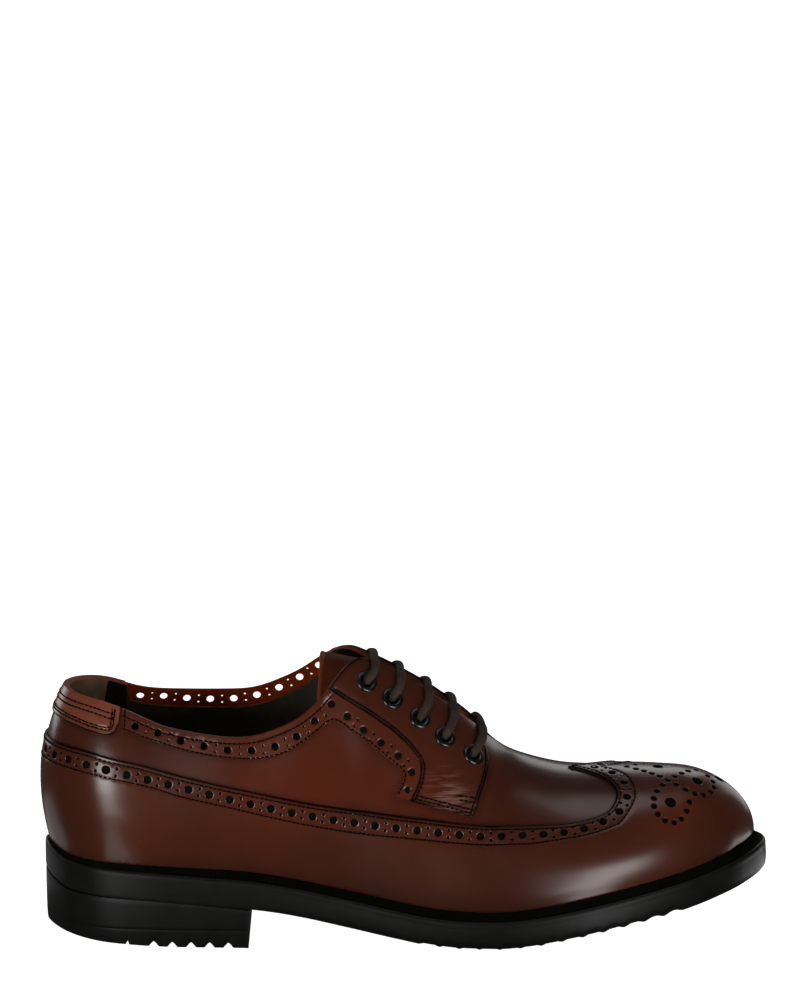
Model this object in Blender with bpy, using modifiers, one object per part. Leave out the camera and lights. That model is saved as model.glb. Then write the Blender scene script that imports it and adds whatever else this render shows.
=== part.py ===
"""A right long-wing derby brogue: leather upper on a welted rubber sole with a lugged block heel.

Sizes are millimetres in the shoe's own terms: u runs forward from the back of the heel, y is positive on the
medial (inner) side, z is up from the floor, and s is the distance round the sole's edge from the heel.
"""

import math

import bmesh
import bpy
from mathutils import Matrix, Vector
from mathutils.geometry import delaunay_2d_cdt

MM = 0.001
GAP = 0.3
WELD = 0.1

# Driving sizes of the whole shoe
SOLE_LENGTH = 310.0
MIDDLE_U, MIDDLE_Y = 154.1, 0.2
TOE_TIP_Y = 7.0
LATERAL, MEDIAL = -1, 1
SIDES = (LATERAL, MEDIAL)
SIDE_NAMES = {LATERAL: "lateral", MEDIAL: "medial"}

# Plan of the sole's edge: station u, lateral half width, medial half width
OUTLINE = (
    (8.0, 19.0, 18.5),
    (22.0, 30.5, 29.5),
    (40.0, 34.5, 33.5),
    (86.0, 37.0, 32.0),
    (125.0, 40.5, 27.5),
    (160.0, 47.0, 34.5),
    (195.0, 52.0, 47.0),
    (226.0, 49.5, 52.5),
    (255.0, 42.5, 48.5),
    (280.0, 31.5, 40.5),
    (299.0, 16.5, 30.0),
)

# Sole along the foot: station u, height of the edge's underside, height of the middle's, width of the welt
SOLE = (
    (0.0, 21.4, 21.4, 3.4),
    (36.0, 20.4, 20.4, 4.0),
    (65.0, 19.0, 19.0, 4.6),
    (88.0, 17.6, 17.1, 5.0),
    (109.0, 14.6, 13.1, 5.0),
    (130.0, 10.6, 8.1, 5.0),
    (151.0, 6.8, 3.6, 5.2),
    (166.0, 4.5, 1.0, 5.4),
    (178.0, 3.8, 0.0, 5.5),
    (194.0, 4.0, 0.0, 5.5),
    (207.0, 5.0, 1.2, 5.5),
    (226.0, 7.9, 4.3, 5.5),
    (244.0, 11.2, 7.9, 5.5),
    (261.0, 14.3, 11.3, 5.5),
    (278.0, 17.5, 14.9, 5.4),
    (292.0, 20.7, 18.5, 5.8),
    (310.0, 24.6, 23.1, 6.2),
)
OUTSOLE_EDGE = 9.2
WELT_EDGE = 3.0
FEATHER_RISE = 15.5
WELT_TUCK = 3.6
WELT_SET_IN = 0.5
INSOLE_RISE = 1.0

# Ridge of the last: station u, sideways place
RIDGE = ((0.0, 0.0), (90.0, 0.0), (150.0, 0.5), (200.0, 2.5), (250.0, 5.0), (272.0, 6.5))
HEEL_PIVOT_FROM, HEEL_PIVOT_REACH = 50.0, 18.0
TOE_PIVOT_FROM, TOE_PIVOT_REACH, TOE_POLE_S = 250.0, 24.0, 297.0

# Sections of the last from feather to top edge: station u of the feather, distance of the top edge from the
# ridge, its height, what the medial side adds, then the two handles of the section's curve, each with its
# distance outside the feather or the top edge and its share of the height
SECTIONS = (
    (3.4, 23.2, 107.5, 0.0, 6.2, 0.33, 12.6, 0.67),
    (20.0, 22.3, 105.6, -0.4, 6.0, 0.33, 12.2, 0.67),
    (36.0, 22.8, 101.6, -0.8, 5.5, 0.33, 11.0, 0.67),
    (56.0, 26.5, 94.7, 3.0, 4.0, 0.33, 7.0, 0.67),
    (85.0, 29.5, 91.5, 5.5, 3.5, 0.33, 5.0, 0.67),
    (106.0, 29.5, 97.8, 6.0, 3.0, 0.33, 5.5, 0.67),
    (119.0, 27.5, 107.8, 5.0, 2.5, 0.33, 7.0, 0.68),
    (128.0, 21.5, 118.3, -0.3, 2.0, 0.34, 12.0, 0.74),
    (133.0, 15.0, 121.6, -2.4, 1.5, 0.36, 17.5, 0.80),
    (138.0, 9.5, 120.3, -2.4, 1.5, 0.37, 21.5, 0.83),
    (163.0, 8.0, 106.4, -1.0, 1.0, 0.40, 19.0, 0.87),
    (180.0, 7.2, 93.6, 0.0, 1.3, 0.44, 19.5, 0.91),
    (189.0, 5.0, 86.0, 0.0, 1.5, 0.46, 21.5, 0.94),
    (196.0, 0.0, 79.4, 0.0, 1.5, 0.48, 25.5, 0.98),
    (207.0, 0.0, 74.0, 0.0, 1.7, 0.50, 25.5, 1.0),
    (226.0, 0.0, 69.4, 0.0, 2.0, 0.52, 25.0, 1.0),
    (262.0, 0.0, 67.8, 0.0, 2.0, 0.52, 23.0, 1.0),
    (274.0, 0.0, 67.4, 0.0, 1.8, 0.51, 22.0, 1.0),
    (290.0, 0.0, 67.4, 0.0, 1.5, 0.50, 23.5, 1.0),
    (304.0, 0.0, 67.4, 0.0, 0.0, 0.45, 25.0, 1.0),
)
UPPER_WALL = 2.0
OVERLAY = 1.2
OVERLAY_GAP = 0.6
OVERLAY_FACE = OVERLAY_GAP + OVERLAY

# Grid of the shells and panels, closer where the collar climbs to the facing and at the throat
SHARES = (0.0, 0.18, 0.35, 0.50, 0.64, 0.77, 0.89, 1.0)
HEEL_TURN, TOE_TURN = 60.0, 244.0
TURN_COLUMNS, TOE_COLUMNS, SIDE_COLUMNS = 9, 14, 12
CLIMB_FROM, CLIMB_TO, CLIMB_COLUMNS = 110.0, 148.0, 12
THROAT_COLUMNS = (189.0, 192.5, 196.0)
PANEL_STEP = 7.0
SECTION_SPAN = 80.0

# Wing line on the sides: distance s round the edge, height z; then over the toe: s, share v of the section
WING_SIDE = (
    (0.0, 86.0), (28.0, 85.2), (54.0, 80.8), (76.0, 75.3), (95.0, 71.0), (115.0, 67.0), (134.0, 63.5),
    (154.0, 60.8), (178.0, 58.0), (200.0, 55.6), (213.0, 54.6), (226.0, 54.0), (240.0, 54.0),
)
WING_TOE = ((249.0, 0.455), (257.0, 0.475), (262.5, 0.515), (265.0, 0.58), (264.6, 0.66), (261.0, 0.74),
            (255.0, 0.82), (249.0, 0.90), (244.0, 1.0))

# Collar trim, its lower edge: distance s, height z; the strip behind the facing: its two edges
COLLAR_LOW = ((51.0, 93.6), (60.0, 90.4), (68.0, 88.2), (82.0, 84.6), (96.0, 82.5), (106.0, 82.1),
              (117.0, 83.8), (124.0, 87.0), (131.0, 91.9), (138.0, 97.6))
STRIP_REAR = ((141.0, 98.7), (150.0, 92.9), (160.4, 85.1), (168.8, 78.3), (170.8, 74.5), (166.9, 66.6))
TRIM_GAP = 1.2
FACING_REAR = ((175.1, 65.0), (179.6, 73.5), (180.2, 78.5), (176.0, 84.6), (168.8, 91.0), (158.5, 98.4),
               (147.4, 106.4), (142.0, 111.0))
FACING_FOOT = (200.9, 58.2)
FACING_FRONT = ((203.8, 65.0), (206.7, 71.9), (208.0, 76.8), (207.6, 81.0))
FACING_TOP_REAR, FACING_TOP_FRONT = 145.5, 203.5
TAB_TOP_S = 49.0
TAB_EDGE = ((48.6, 95.6), (43.6, 91.8), (27.4, 94.2), (0.0, 95.8))

# Eyelets: distance s, share v of the section
EYELETS = ((154.6, 0.863), (165.7, 0.821), (177.8, 0.785), (188.7, 0.751), (201.2, 0.733))
EYELET_RING, EYELET_WIRE, EYELET_HOLE, EYELET_CUT = 3.45, 0.9, 2.5, 12.0
LACE_RADIUS = 1.85
LACE_START = 5.4

# Tongue: stations under the facings, rows across and the free end that stands behind the lacing
TONGUE_STATIONS = (138.0, 150.0, 162.0, 173.0, 182.0, 189.0, 192.5, 196.0, 208.0)
TONGUE_SHARES = (0.74, 0.83, 0.93)
TONGUE_WALL = 2.2
TONGUE_CLEAR = 1.3
TONGUE_CROWN = 1.2
TONGUE_END, TONGUE_END_ROWS, TONGUE_LIFT = 118.5, 3, 0.17

# Heel: breast, top of the top lift, lift of the back edge, notches along its sides
HEEL_BREAST = 88.0
LIFT_TOP = 7.8
HEEL_BACK_RISE, HEEL_FLAT_FROM = 3.2, 58.0
HEEL_NOTCHES_FROM, HEEL_NOTCHES = 42.0, 6
LUG_PITCH = 8.6
NOTCH_HALF, NOTCH_DEPTH, NOTCH_REACH, NOTCH_WALL = 1.3, 2.4, 9.0, 0.8
HEEL_TAPER = 0.8
HEEL_COLUMNS = 15

# Forefoot lugs along the sole's edge
SOLE_NOTCHES_FROM, SOLE_NOTCHES = 178.0, 14
MIDDLE_INSET = 15.0
SOLE_COLUMNS = 30
EDGE_BULGE = 0.6

MATERIALS = {
    "leather": ((0.105, 0.028, 0.014), 0.34, 0.0),
    "rubber": ((0.012, 0.012, 0.011), 0.55, 0.0),
    "welt": ((0.010, 0.010, 0.010), 0.5, 0.0),
    "insole": ((0.10, 0.07, 0.045), 0.7, 0.0),
    "eyelet": ((0.05, 0.05, 0.055), 0.3, 1.0),
    "lace": ((0.05, 0.03, 0.026), 0.8, 0.0),
}


def column(rows, index):
    return [row[index] for row in rows]


def monotone_slopes(xs, ys):
    """Slopes of a curve through the points that never swings past them."""
    steps = [(ys[i + 1] - ys[i]) / (xs[i + 1] - xs[i]) for i in range(len(xs) - 1)]
    slopes = [steps[0]]
    for before, after in zip(steps, steps[1:]):
        slopes.append(0.0 if before * after <= 0.0 else 2.0 * before * after / (before + after))
    slopes.append(steps[-1])
    return slopes


def hermite(x0, x1, y0, y1, m0, m1, x):
    span = x1 - x0
    k = (x - x0) / span
    rise = (1.0 - k) ** 2 * (1.0 + 2.0 * k) * y0 + k * k * (3.0 - 2.0 * k) * y1
    return rise + span * (k * (1.0 - k) ** 2 * m0 - k * k * (1.0 - k) * m1)


def follow(xs, ys, slopes, x):
    x = min(max(x, xs[0]), xs[-1])
    i = 0
    while i < len(xs) - 2 and x > xs[i + 1]:
        i += 1
    return hermite(xs[i], xs[i + 1], ys[i], ys[i + 1], slopes[i], slopes[i + 1], x)


def tracks(rows):
    """One smooth track for each column of a table, all against its first column."""
    xs = column(rows, 0)
    curves = []
    for index in range(1, len(rows[0])):
        ys = column(rows, index)
        curves.append((xs, ys, monotone_slopes(xs, ys)))
    return curves


SOLE_TRACKS = tracks(SOLE)
RIDGE_TRACKS = tracks(RIDGE)
SECTION_TRACKS = tracks(SECTIONS)


def read_tracks(curves, u):
    return [follow(xs, ys, slopes, u) for xs, ys, slopes in curves]


def outline_points(side):
    index = 1 if side == LATERAL else 2
    inner = [(row[0], side * row[index]) for row in OUTLINE]
    return [(0.0, 0.0)] + inner + [(SOLE_LENGTH, TOE_TIP_Y)]


def outline_knots():
    """Distance round the edge at each row of the plan, taken as the mean of the two sides."""
    lateral, medial = outline_points(LATERAL), outline_points(MEDIAL)
    knots = [0.0]
    for i in range(len(lateral) - 1):
        steps = [math.dist(points[i], points[i + 1]) for points in (lateral, medial)]
        knots.append(knots[-1] + sum(steps) / 2.0)
    return knots


KNOTS = outline_knots()
S_TOE = KNOTS[-1]


def outline_slopes(side):
    points, other = outline_points(side), outline_points(-side)
    before = [other[1]] + points[:-1]
    after = points[1:] + [other[-2]]
    knots_before = [-KNOTS[1]] + KNOTS[:-1]
    knots_after = KNOTS[1:] + [2.0 * S_TOE - KNOTS[-2]]
    slopes = []
    for a, b, ka, kb in zip(before, after, knots_before, knots_after):
        slopes.append(((b[0] - a[0]) / (kb - ka), (b[1] - a[1]) / (kb - ka)))
    return slopes


OUTLINE_TRACKS = {}
for outline_side in SIDES:
    plan = outline_points(outline_side)
    lean = outline_slopes(outline_side)
    OUTLINE_TRACKS[outline_side] = [
        (KNOTS, column(plan, axis), column(lean, axis)) for axis in (0, 1)
    ]


def sole_edge(s, side):
    """Plan point of the sole's edge."""
    x, y = read_tracks(OUTLINE_TRACKS[side], s)
    return Vector((x, y))


def sole_inward(s, side):
    """Unit plan direction from the sole's edge to its inside."""
    step = 0.5
    low, high = max(0.0, s - step), min(S_TOE, s + step)
    if low == 0.0:
        along = Vector((0.0, side))
    elif high == S_TOE:
        along = sole_edge(S_TOE - step, -side) - sole_edge(S_TOE - step, side)
    else:
        along = sole_edge(high, side) - sole_edge(low, side)
    along.normalize()
    return Vector((side * along.y, -side * along.x))


def inset(s, side, distance):
    return sole_edge(s, side) + sole_inward(s, side) * distance


def core(s):
    """Plan point under the ridge that the section at s turns about: one point for all of the toe's front."""
    s = min(s, TOE_POLE_S)
    u = (sole_edge(s, LATERAL).x + sole_edge(s, MEDIAL).x) / 2.0
    if u < HEEL_PIVOT_FROM:
        past = (HEEL_PIVOT_FROM - u) / HEEL_PIVOT_REACH
        u = HEEL_PIVOT_FROM - HEEL_PIVOT_REACH * (1.0 - math.exp(-past))
    elif u > TOE_PIVOT_FROM:
        past = (u - TOE_PIVOT_FROM) / TOE_PIVOT_REACH
        u = TOE_PIVOT_FROM + TOE_PIVOT_REACH * (1.0 - math.exp(-past))
    return Vector((u, read_tracks(RIDGE_TRACKS, u)[0]))


def sole_sizes(u):
    """Height of the edge's underside, height of the middle's and width of the welt."""
    return read_tracks(SOLE_TRACKS, u)


def last_point(s, side, v):
    """Outer face of the upper: v runs from 0 at the feather to 1 at the collar, the facing edge or the ridge."""
    middle = core(s)
    edge = sole_edge(s, side)
    edge_z, _, welt_width = sole_sizes(edge.x)
    feather = inset(s, side, welt_width)
    reach = (feather - middle).length
    outward = (feather - middle) / reach
    top_out, top_z, rise, low_out, low_up, high_out, high_up = read_tracks(SECTION_TRACKS, feather.x)
    if side == MEDIAL:
        top_z += rise
    low_z = edge_z + FEATHER_RISE
    height = top_z - low_z
    handles = (
        (reach, low_z),
        (reach + low_out, low_z + low_up * height),
        (top_out + high_out, low_z + high_up * height),
        (top_out, top_z),
    )
    weights = ((1.0 - v) ** 3, 3.0 * v * (1.0 - v) ** 2, 3.0 * v * v * (1.0 - v), v ** 3)
    out = sum(w * handle[0] for w, handle in zip(weights, handles))
    z = sum(w * handle[1] for w, handle in zip(weights, handles))
    plan_point = middle + outward * out
    return Vector((plan_point.x, plan_point.y, z))


def last_normal(s, side, v):
    """Unit direction out of the leather; on the ridge, the mean of the two sides."""
    if v == 1.0:
        s = min(s, TOE_POLE_S)
    here = face_normal(s, side, v)
    if v == 1.0 and (last_point(s, side, v) - last_point(s, -side, v)).length < GAP:
        here = (here + face_normal(s, -side, v)).normalized()
    return here


def face_normal(s, side, v):
    step_s, step_v = 0.6, 0.004
    s_low, s_high = max(0.0, s - step_s), min(S_TOE, s + step_s)
    v_low, v_high = max(0.0, v - step_v), min(1.0, v + step_v)
    v_along = min(v, 0.97)
    if s_low == 0.0:
        along = Vector((0.0, side, 0.0))
    elif s_high == S_TOE:
        along = last_point(S_TOE - step_s, -side, v_along) - last_point(S_TOE - step_s, side, v_along)
    else:
        along = last_point(s_high, side, v_along) - last_point(s_low, side, v_along)
    upward = last_point(s, side, v_high) - last_point(s, side, v_low)
    return (along.cross(upward) * -side).normalized()


def span(first, last, count):
    return [first + (last - first) * i / (count - 1) for i in range(count)]


def lift_point(s, side, v, distance):
    """A point off the outer face of the upper, outward if distance is positive."""
    return last_point(s, side, v) + last_normal(s, side, v) * distance


def share_at_height(s, z):
    """Share of the lateral section whose point is at height z."""
    low, high = 0.0, 1.0
    for _ in range(26):
        middle = (low + high) / 2.0
        if last_point(s, LATERAL, middle).z < z:
            low = middle
        else:
            high = middle
    return low


def by_height(rows):
    return [(s, share_at_height(s, z)) for s, z in rows]


def s_at_station(u):
    """Distance round the edge where the mean of the two sides is at station u."""
    low, high = 0.0, S_TOE
    for _ in range(30):
        middle = (low + high) / 2.0
        if (sole_edge(middle, LATERAL).x + sole_edge(middle, MEDIAL).x) / 2.0 < u:
            low = middle
        else:
            high = middle
    return low


def make_material(name):
    colour, roughness, metallic = MATERIALS[name]
    material = bpy.data.materials.new(name)
    material.use_nodes = True
    shader = material.node_tree.nodes["Principled BSDF"]
    shader.inputs["Base Color"].default_value = (*colour, 1.0)
    shader.inputs["Roughness"].default_value = roughness
    shader.inputs["Metallic"].default_value = metallic
    return material


class Shoe:
    """The collections, the materials and the empty that carries every piece."""

    def __init__(self):
        for thing in list(bpy.data.objects):
            bpy.data.objects.remove(thing)
        self.parts = bpy.data.collections.new("brogue")
        self.cutters = bpy.data.collections.new("cutters")
        for collection in (self.parts, self.cutters):
            bpy.context.scene.collection.children.link(collection)
        self.materials = {name: make_material(name) for name in MATERIALS}
        self.origin = bpy.data.objects.new("shoe_origin", None)
        self.parts.objects.link(self.origin)

    def add(self, name, data, material):
        piece = bpy.data.objects.new(name, data)
        data.materials.append(self.materials[material])
        piece.parent = self.origin
        self.parts.objects.link(piece)
        return piece

    def add_mesh(self, name, points, faces, material):
        """A mesh object from points in millimetres, its matching points welded and its faces turned outward."""
        shape = bmesh.new()
        corners = [shape.verts.new(Vector(point) * MM) for point in points]
        for face in faces:
            shape.faces.new([corners[i] for i in face])
        bmesh.ops.remove_doubles(shape, verts=shape.verts, dist=WELD * MM)
        bmesh.ops.dissolve_degenerate(shape, edges=shape.edges, dist=0.001 * MM)
        bmesh.ops.recalc_face_normals(shape, faces=shape.faces)
        mesh = bpy.data.meshes.new(name)
        shape.to_mesh(mesh)
        shape.free()
        mesh.shade_smooth()
        mesh.set_sharp_from_angle(angle=math.radians(40.0))
        return self.add(name, mesh, material)


def sweep(shoe, name, positions, section, material, closed=False, end_cap=False):
    """A solid swept round both sides of the shoe, from the section's points at each distance s."""
    points, faces = [], []
    for side in SIDES:
        start = len(points)
        for s in positions:
            points.extend(section(s, side))
        count = (len(points) - start) // len(positions)
        wrap = count if closed else count - 1
        for i in range(len(positions) - 1):
            for k in range(wrap):
                a = start + i * count + k
                b = start + i * count + (k + 1) % count
                faces.append((a, b, b + count, a + count))
    if end_cap:
        half = len(points) // 2
        last = half - count
        lateral = [last + k for k in range(count)]
        medial = [half + last + k for k in range(1, count - 1)]
        faces.append(lateral + medial[::-1])
    return shoe.add_mesh(name, points, faces, material)


def thicken(piece, thickness, offset):
    solid = piece.modifiers.new("wall", "SOLIDIFY")
    solid.thickness = thickness * MM
    solid.offset = offset
    solid.use_even_offset = True
    solid.use_quality_normals = True


def turn_outward(piece):
    """Turns the faces of an open shell so that they look away from the middle of the foot."""
    mesh = piece.data
    outward = 0.0
    for face in mesh.polygons:
        middle = Vector((min(max(face.center.x, 0.05), 0.26), 0.0, 0.05))
        outward += face.normal.dot(face.center - middle) * face.area
    if outward < 0.0:
        mesh.flip_normals()


def upper_positions():
    """Columns of the upper, closer together where the collar climbs to the facing and at the throat."""
    close = span(s_at_station(CLIMB_FROM), s_at_station(CLIMB_TO), CLIMB_COLUMNS)
    close += [s_at_station(u) for u in THROAT_COLUMNS]
    even = span(0.0, HEEL_TURN, TURN_COLUMNS) + span(HEEL_TURN, TOE_TURN, SIDE_COLUMNS)[1:]
    even += span(TOE_TURN, S_TOE, TOE_COLUMNS)[1:]
    keep = [s for s in even if min(abs(s - other) for other in close) > 2.5]
    return sorted(keep + close)


def build_upper(shoe):
    def section(s, side):
        return [last_point(s, side, v) for v in SHARES]

    upper = sweep(shoe, "upper", UPPER_POSITIONS, section, "leather")
    turn_outward(upper)
    thicken(upper, UPPER_WALL, -1.0)
    return upper


UPPER_POSITIONS = upper_positions()


def inside(point, polygon):
    x, y = point
    hit = False
    for (x0, y0), (x1, y1) in zip(polygon, polygon[1:] + polygon[:1]):
        if (y0 > y) != (y1 > y) and x < x0 + (y - y0) * (x1 - x0) / (y1 - y0):
            hit = not hit
    return hit


def clearance(point, polygon):
    """Distance from a point to the nearest edge of a polygon."""
    nearest = math.inf
    here = Vector(point)
    for a, b in zip(polygon, polygon[1:] + polygon[:1]):
        a, b = Vector(a), Vector(b)
        along = b - a
        if along.length_squared == 0.0:
            continue
        share = min(max((here - a).dot(along) / along.length_squared, 0.0), 1.0)
        nearest = min(nearest, (here - a - along * share).length)
    return nearest


def divided(polygon, step):
    """The polygon's corners with its long edges cut into steps."""
    result = []
    for a, b in zip(polygon, polygon[1:] + polygon[:1]):
        pieces = max(1, math.ceil(math.dist(a, b) / step))
        for k in range(pieces):
            share = k / pieces
            result.append((a[0] + (b[0] - a[0]) * share, a[1] + (b[1] - a[1]) * share))
    return result


def smooth_line(rows, per_row):
    """Points on a soft curve through the rows."""
    points = []
    count = len(rows)
    for i in range(count - 1):
        before, after = rows[max(i - 1, 0)], rows[min(i + 2, count - 1)]
        for k in range(per_row):
            t = k / per_row
            point = []
            for axis in (0, 1):
                p0, p1, p2, p3 = before[axis], rows[i][axis], rows[i + 1][axis], after[axis]
                bend = 2.0 * p0 - 5.0 * p1 + 4.0 * p2 - p3
                twist = 3.0 * p1 - p0 - 3.0 * p2 + p3
                point.append(p1 + 0.5 * t * (p2 - p0 + t * (bend + t * twist)))
            points.append(tuple(point))
    points.append(rows[-1])
    return points


def top_edge(first, last):
    """The upper's top edge from s first to s last, at the upper's own columns."""
    low, high = min(first, last), max(first, last)
    between = [s for s in UPPER_POSITIONS if low + 0.5 < s < high - 0.5]
    if last < first:
        between.reverse()
    return [(s, 1.0) for s in [first] + between + [last]]


def beside(rows, distance):
    """The line of rows moved sideways, to the right of its run if distance is positive."""
    moved = []
    for i, row in enumerate(rows):
        before, after = Vector(rows[max(i - 1, 0)]), Vector(rows[min(i + 1, len(rows) - 1)])
        along = (after - before).normalized()
        moved.append((row[0] + along.y * distance, row[1] - along.x * distance))
    return moved


def flat_pattern(outline):
    """Triangles that fill an outline of (s, v) points, as a list of (s, v) corners and the faces on them."""
    polygon = divided([(s, v * SECTION_SPAN) for s, v in outline], PANEL_STEP)
    corners = list(polygon)
    for s in UPPER_POSITIONS:
        for v in SHARES:
            point = (s, v * SECTION_SPAN)
            if inside(point, polygon) and clearance(point, polygon) > 0.4 * PANEL_STEP:
                corners.append(point)
    ring = [(i, (i + 1) % len(polygon)) for i in range(len(polygon))]
    found = delaunay_2d_cdt([Vector(point) for point in corners], ring, [], 0, 0.0001)
    places = [(point.x, point.y) for point in found[0]]
    faces = []
    for face in found[2]:
        middle = tuple(sum(places[i][axis] for i in face) / 3.0 for axis in (0, 1))
        if inside(middle, polygon):
            faces.append(tuple(face))
    return [(s, v / SECTION_SPAN) for s, v in places], faces


def build_panel(shoe, name, outline, sides):
    """An overlay cut to an outline of (s, v) points and laid over the upper on the given sides."""
    places, triangles = flat_pattern(outline)
    points, faces = [], []
    for side in sides:
        start = len(points)
        points.extend(lift_point(s, side, v, OVERLAY_GAP) for s, v in places)
        faces.extend(tuple(start + i for i in face) for face in triangles)
    panel = shoe.add_mesh(name, points, faces, "leather")
    turn_outward(panel)
    thicken(panel, OVERLAY, 1.0)
    return panel


def build_wing(shoe):
    """The long wing: from the feather up to the wing line, right round the heel and over the toe."""
    line = smooth_line(by_height(WING_SIDE) + list(WING_TOE), 2)
    toe = [(S_TOE, v) for v in SHARES[-2:0:-1]]
    feather = [(s, 0.0) for s in UPPER_POSITIONS[::-1]]
    outline = line + top_edge(line[-1][0], S_TOE)[1:] + toe + feather
    return build_panel(shoe, "wing_cap", outline, SIDES)


def build_facing(shoe, side):
    rear = smooth_line(by_height(FACING_REAR), 2)
    top = top_edge(FACING_TOP_REAR, FACING_TOP_FRONT)
    front = by_height(FACING_FRONT[::-1]) + by_height([FACING_FOOT])
    return build_panel(shoe, "facing_" + SIDE_NAMES[side], rear + top + front, (side,))


def build_collar_trim(shoe, side):
    """The brogued strip along the collar and down behind the facing."""
    low = smooth_line(by_height(COLLAR_LOW), 1)
    rear = smooth_line(by_height(STRIP_REAR), 2)
    front = smooth_line(by_height(beside(FACING_REAR, -TRIM_GAP)), 2)
    top = top_edge(FACING_TOP_REAR - 5.5, TAB_TOP_S + 1.5)
    outline = low + rear + front
    return build_panel(shoe, "collar_trim_" + SIDE_NAMES[side], outline + top, (side,))


def build_heel_tab(shoe):
    edge = smooth_line(by_height(TAB_EDGE), 3)
    return build_panel(shoe, "heel_tab", edge + top_edge(0.0, TAB_TOP_S), SIDES)


def tongue_row(u):
    """Points across the tongue at a station under the facings, from the lateral to the medial side."""
    s = s_at_station(u)
    depth = -(UPPER_WALL + TONGUE_CLEAR)
    lateral = [lift_point(s, LATERAL, v, depth) for v in TONGUE_SHARES]
    medial = [lift_point(s, MEDIAL, v, depth) for v in TONGUE_SHARES]
    middle = (lift_point(s, LATERAL, 1.0, depth) + lift_point(s, MEDIAL, 1.0, depth)) / 2.0
    if last_point(s, LATERAL, 1.0).y < middle.y - TONGUE_CROWN:
        middle.z += TONGUE_CROWN
    return lateral + [middle] + medial[::-1]


def build_tongue(shoe):
    rows = [tongue_row(u) for u in TONGUE_STATIONS]
    free = []
    for u in span(TONGUE_END, TONGUE_STATIONS[0], TONGUE_END_ROWS + 1)[:-1]:
        back = TONGUE_STATIONS[0] - u
        free.append([point + Vector((-back, 0.0, TONGUE_LIFT * back)) for point in rows[0]])
    rows = free + rows
    across = len(rows[0])
    points = [point for row in rows for point in row]
    faces = []
    for i in range(len(rows) - 1):
        for k in range(across - 1):
            a = i * across + k
            faces.append((a, a + 1, a + 1 + across, a + across))
    tongue = shoe.add_mesh("tongue", points, faces, "leather")
    turn_outward(tongue)
    thicken(tongue, TONGUE_WALL, -1.0)
    return tongue


def rim_points(s, side, v, radius, distance):
    """Points on a ring of the given radius round a place on the upper, raised off its face."""
    along = (last_point(s + 1.0, side, v) - last_point(s - 1.0, side, v)).length / 2.0
    upward = (last_point(s, side, v + 0.01) - last_point(s, side, v - 0.01)).length / 0.02
    ring = []
    for k in range(8):
        turn = math.tau * k / 8
        share = min(v + radius * math.sin(turn) / upward, 1.0)
        ring.append(lift_point(s + radius * math.cos(turn) / along, side, share, distance))
    return ring


def seat_on(s, side, v, radius, distance, clear):
    """A frame whose Z axis stands out from the leather, seated clear of a ring of that radius."""
    ring = rim_points(s, side, v, radius, distance)
    out = (ring[0] - ring[4]).cross(ring[2] - ring[6]).normalized()
    if out.dot(last_normal(s, side, v)) < 0.0:
        out.negate()
    place = lift_point(s, side, v, distance)
    rise = max((point - place).dot(out) for point in ring + [place])
    turn = out.to_track_quat("Z", "Y").to_matrix().to_4x4()
    return Matrix.Translation((place + out * (rise + clear)) * MM) @ turn


def build_eyelets(shoe):
    bpy.ops.mesh.primitive_torus_add(
        major_segments=9, minor_segments=4, major_radius=EYELET_RING * MM, minor_radius=EYELET_WIRE * MM
    )
    pattern = bpy.context.object
    ring = pattern.data
    ring.shade_smooth()
    bpy.data.objects.remove(pattern)
    for side in SIDES:
        for number, (s, v) in enumerate(EYELETS, 1):
            name = "eyelet_%s_%d" % (SIDE_NAMES[side], number)
            eyelet = shoe.add(name, ring.copy(), "eyelet")
            eyelet.matrix_local = seat_on(s, side, v, EYELET_RING, OVERLAY_FACE, EYELET_WIRE + GAP)


def eyelet_cutter(shoe):
    shape = bmesh.new()
    for side in SIDES:
        for s, v in EYELETS:
            bmesh.ops.create_cone(
                shape, cap_ends=True, segments=8, radius1=EYELET_HOLE * MM, radius2=EYELET_HOLE * MM,
                depth=EYELET_CUT * MM, matrix=seat_on(s, side, v, EYELET_RING, 0.0, 0.0),
            )
    mesh = bpy.data.meshes.new("eyelet_holes")
    shape.to_mesh(mesh)
    shape.free()
    cutter = bpy.data.objects.new("eyelet_holes", mesh)
    cutter.parent = shoe.origin
    cutter.hide_render = True
    cutter.display_type = "WIRE"
    shoe.cutters.objects.link(cutter)
    return cutter


def cut(piece, cutter):
    hole = piece.modifiers.new("eyelet_holes", "BOOLEAN")
    hole.operation = "DIFFERENCE"
    hole.object = cutter


def build_lace_bars(shoe):
    """Five straight bars of the lace, each from eyelet to eyelet across the throat."""
    distance = OVERLAY_FACE + GAP + LACE_RADIUS + 0.2
    for number, (s, v) in enumerate(EYELETS, 1):
        girth = (last_point(s, LATERAL, 1.0) - last_point(s, LATERAL, v)).length
        first = v + (1.0 - v) * LACE_START / girth
        halves = []
        for side in SIDES:
            halves.append([lift_point(s, side, share, distance) for share in span(first, 1.0, 3)])
        path = halves[0] + halves[1][::-1]
        curve = bpy.data.curves.new("lace_bar_%d" % number, "CURVE")
        curve.dimensions = "3D"
        curve.bevel_depth = LACE_RADIUS * MM
        curve.bevel_resolution = 1
        curve.use_fill_caps = True
        spline = curve.splines.new("POLY")
        spline.points.add(len(path) - 1)
        for point, place in zip(spline.points, path):
            point.co = (*(place * MM), 1.0)
        shoe.add("lace_bar_%d" % number, curve, "lace")


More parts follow.
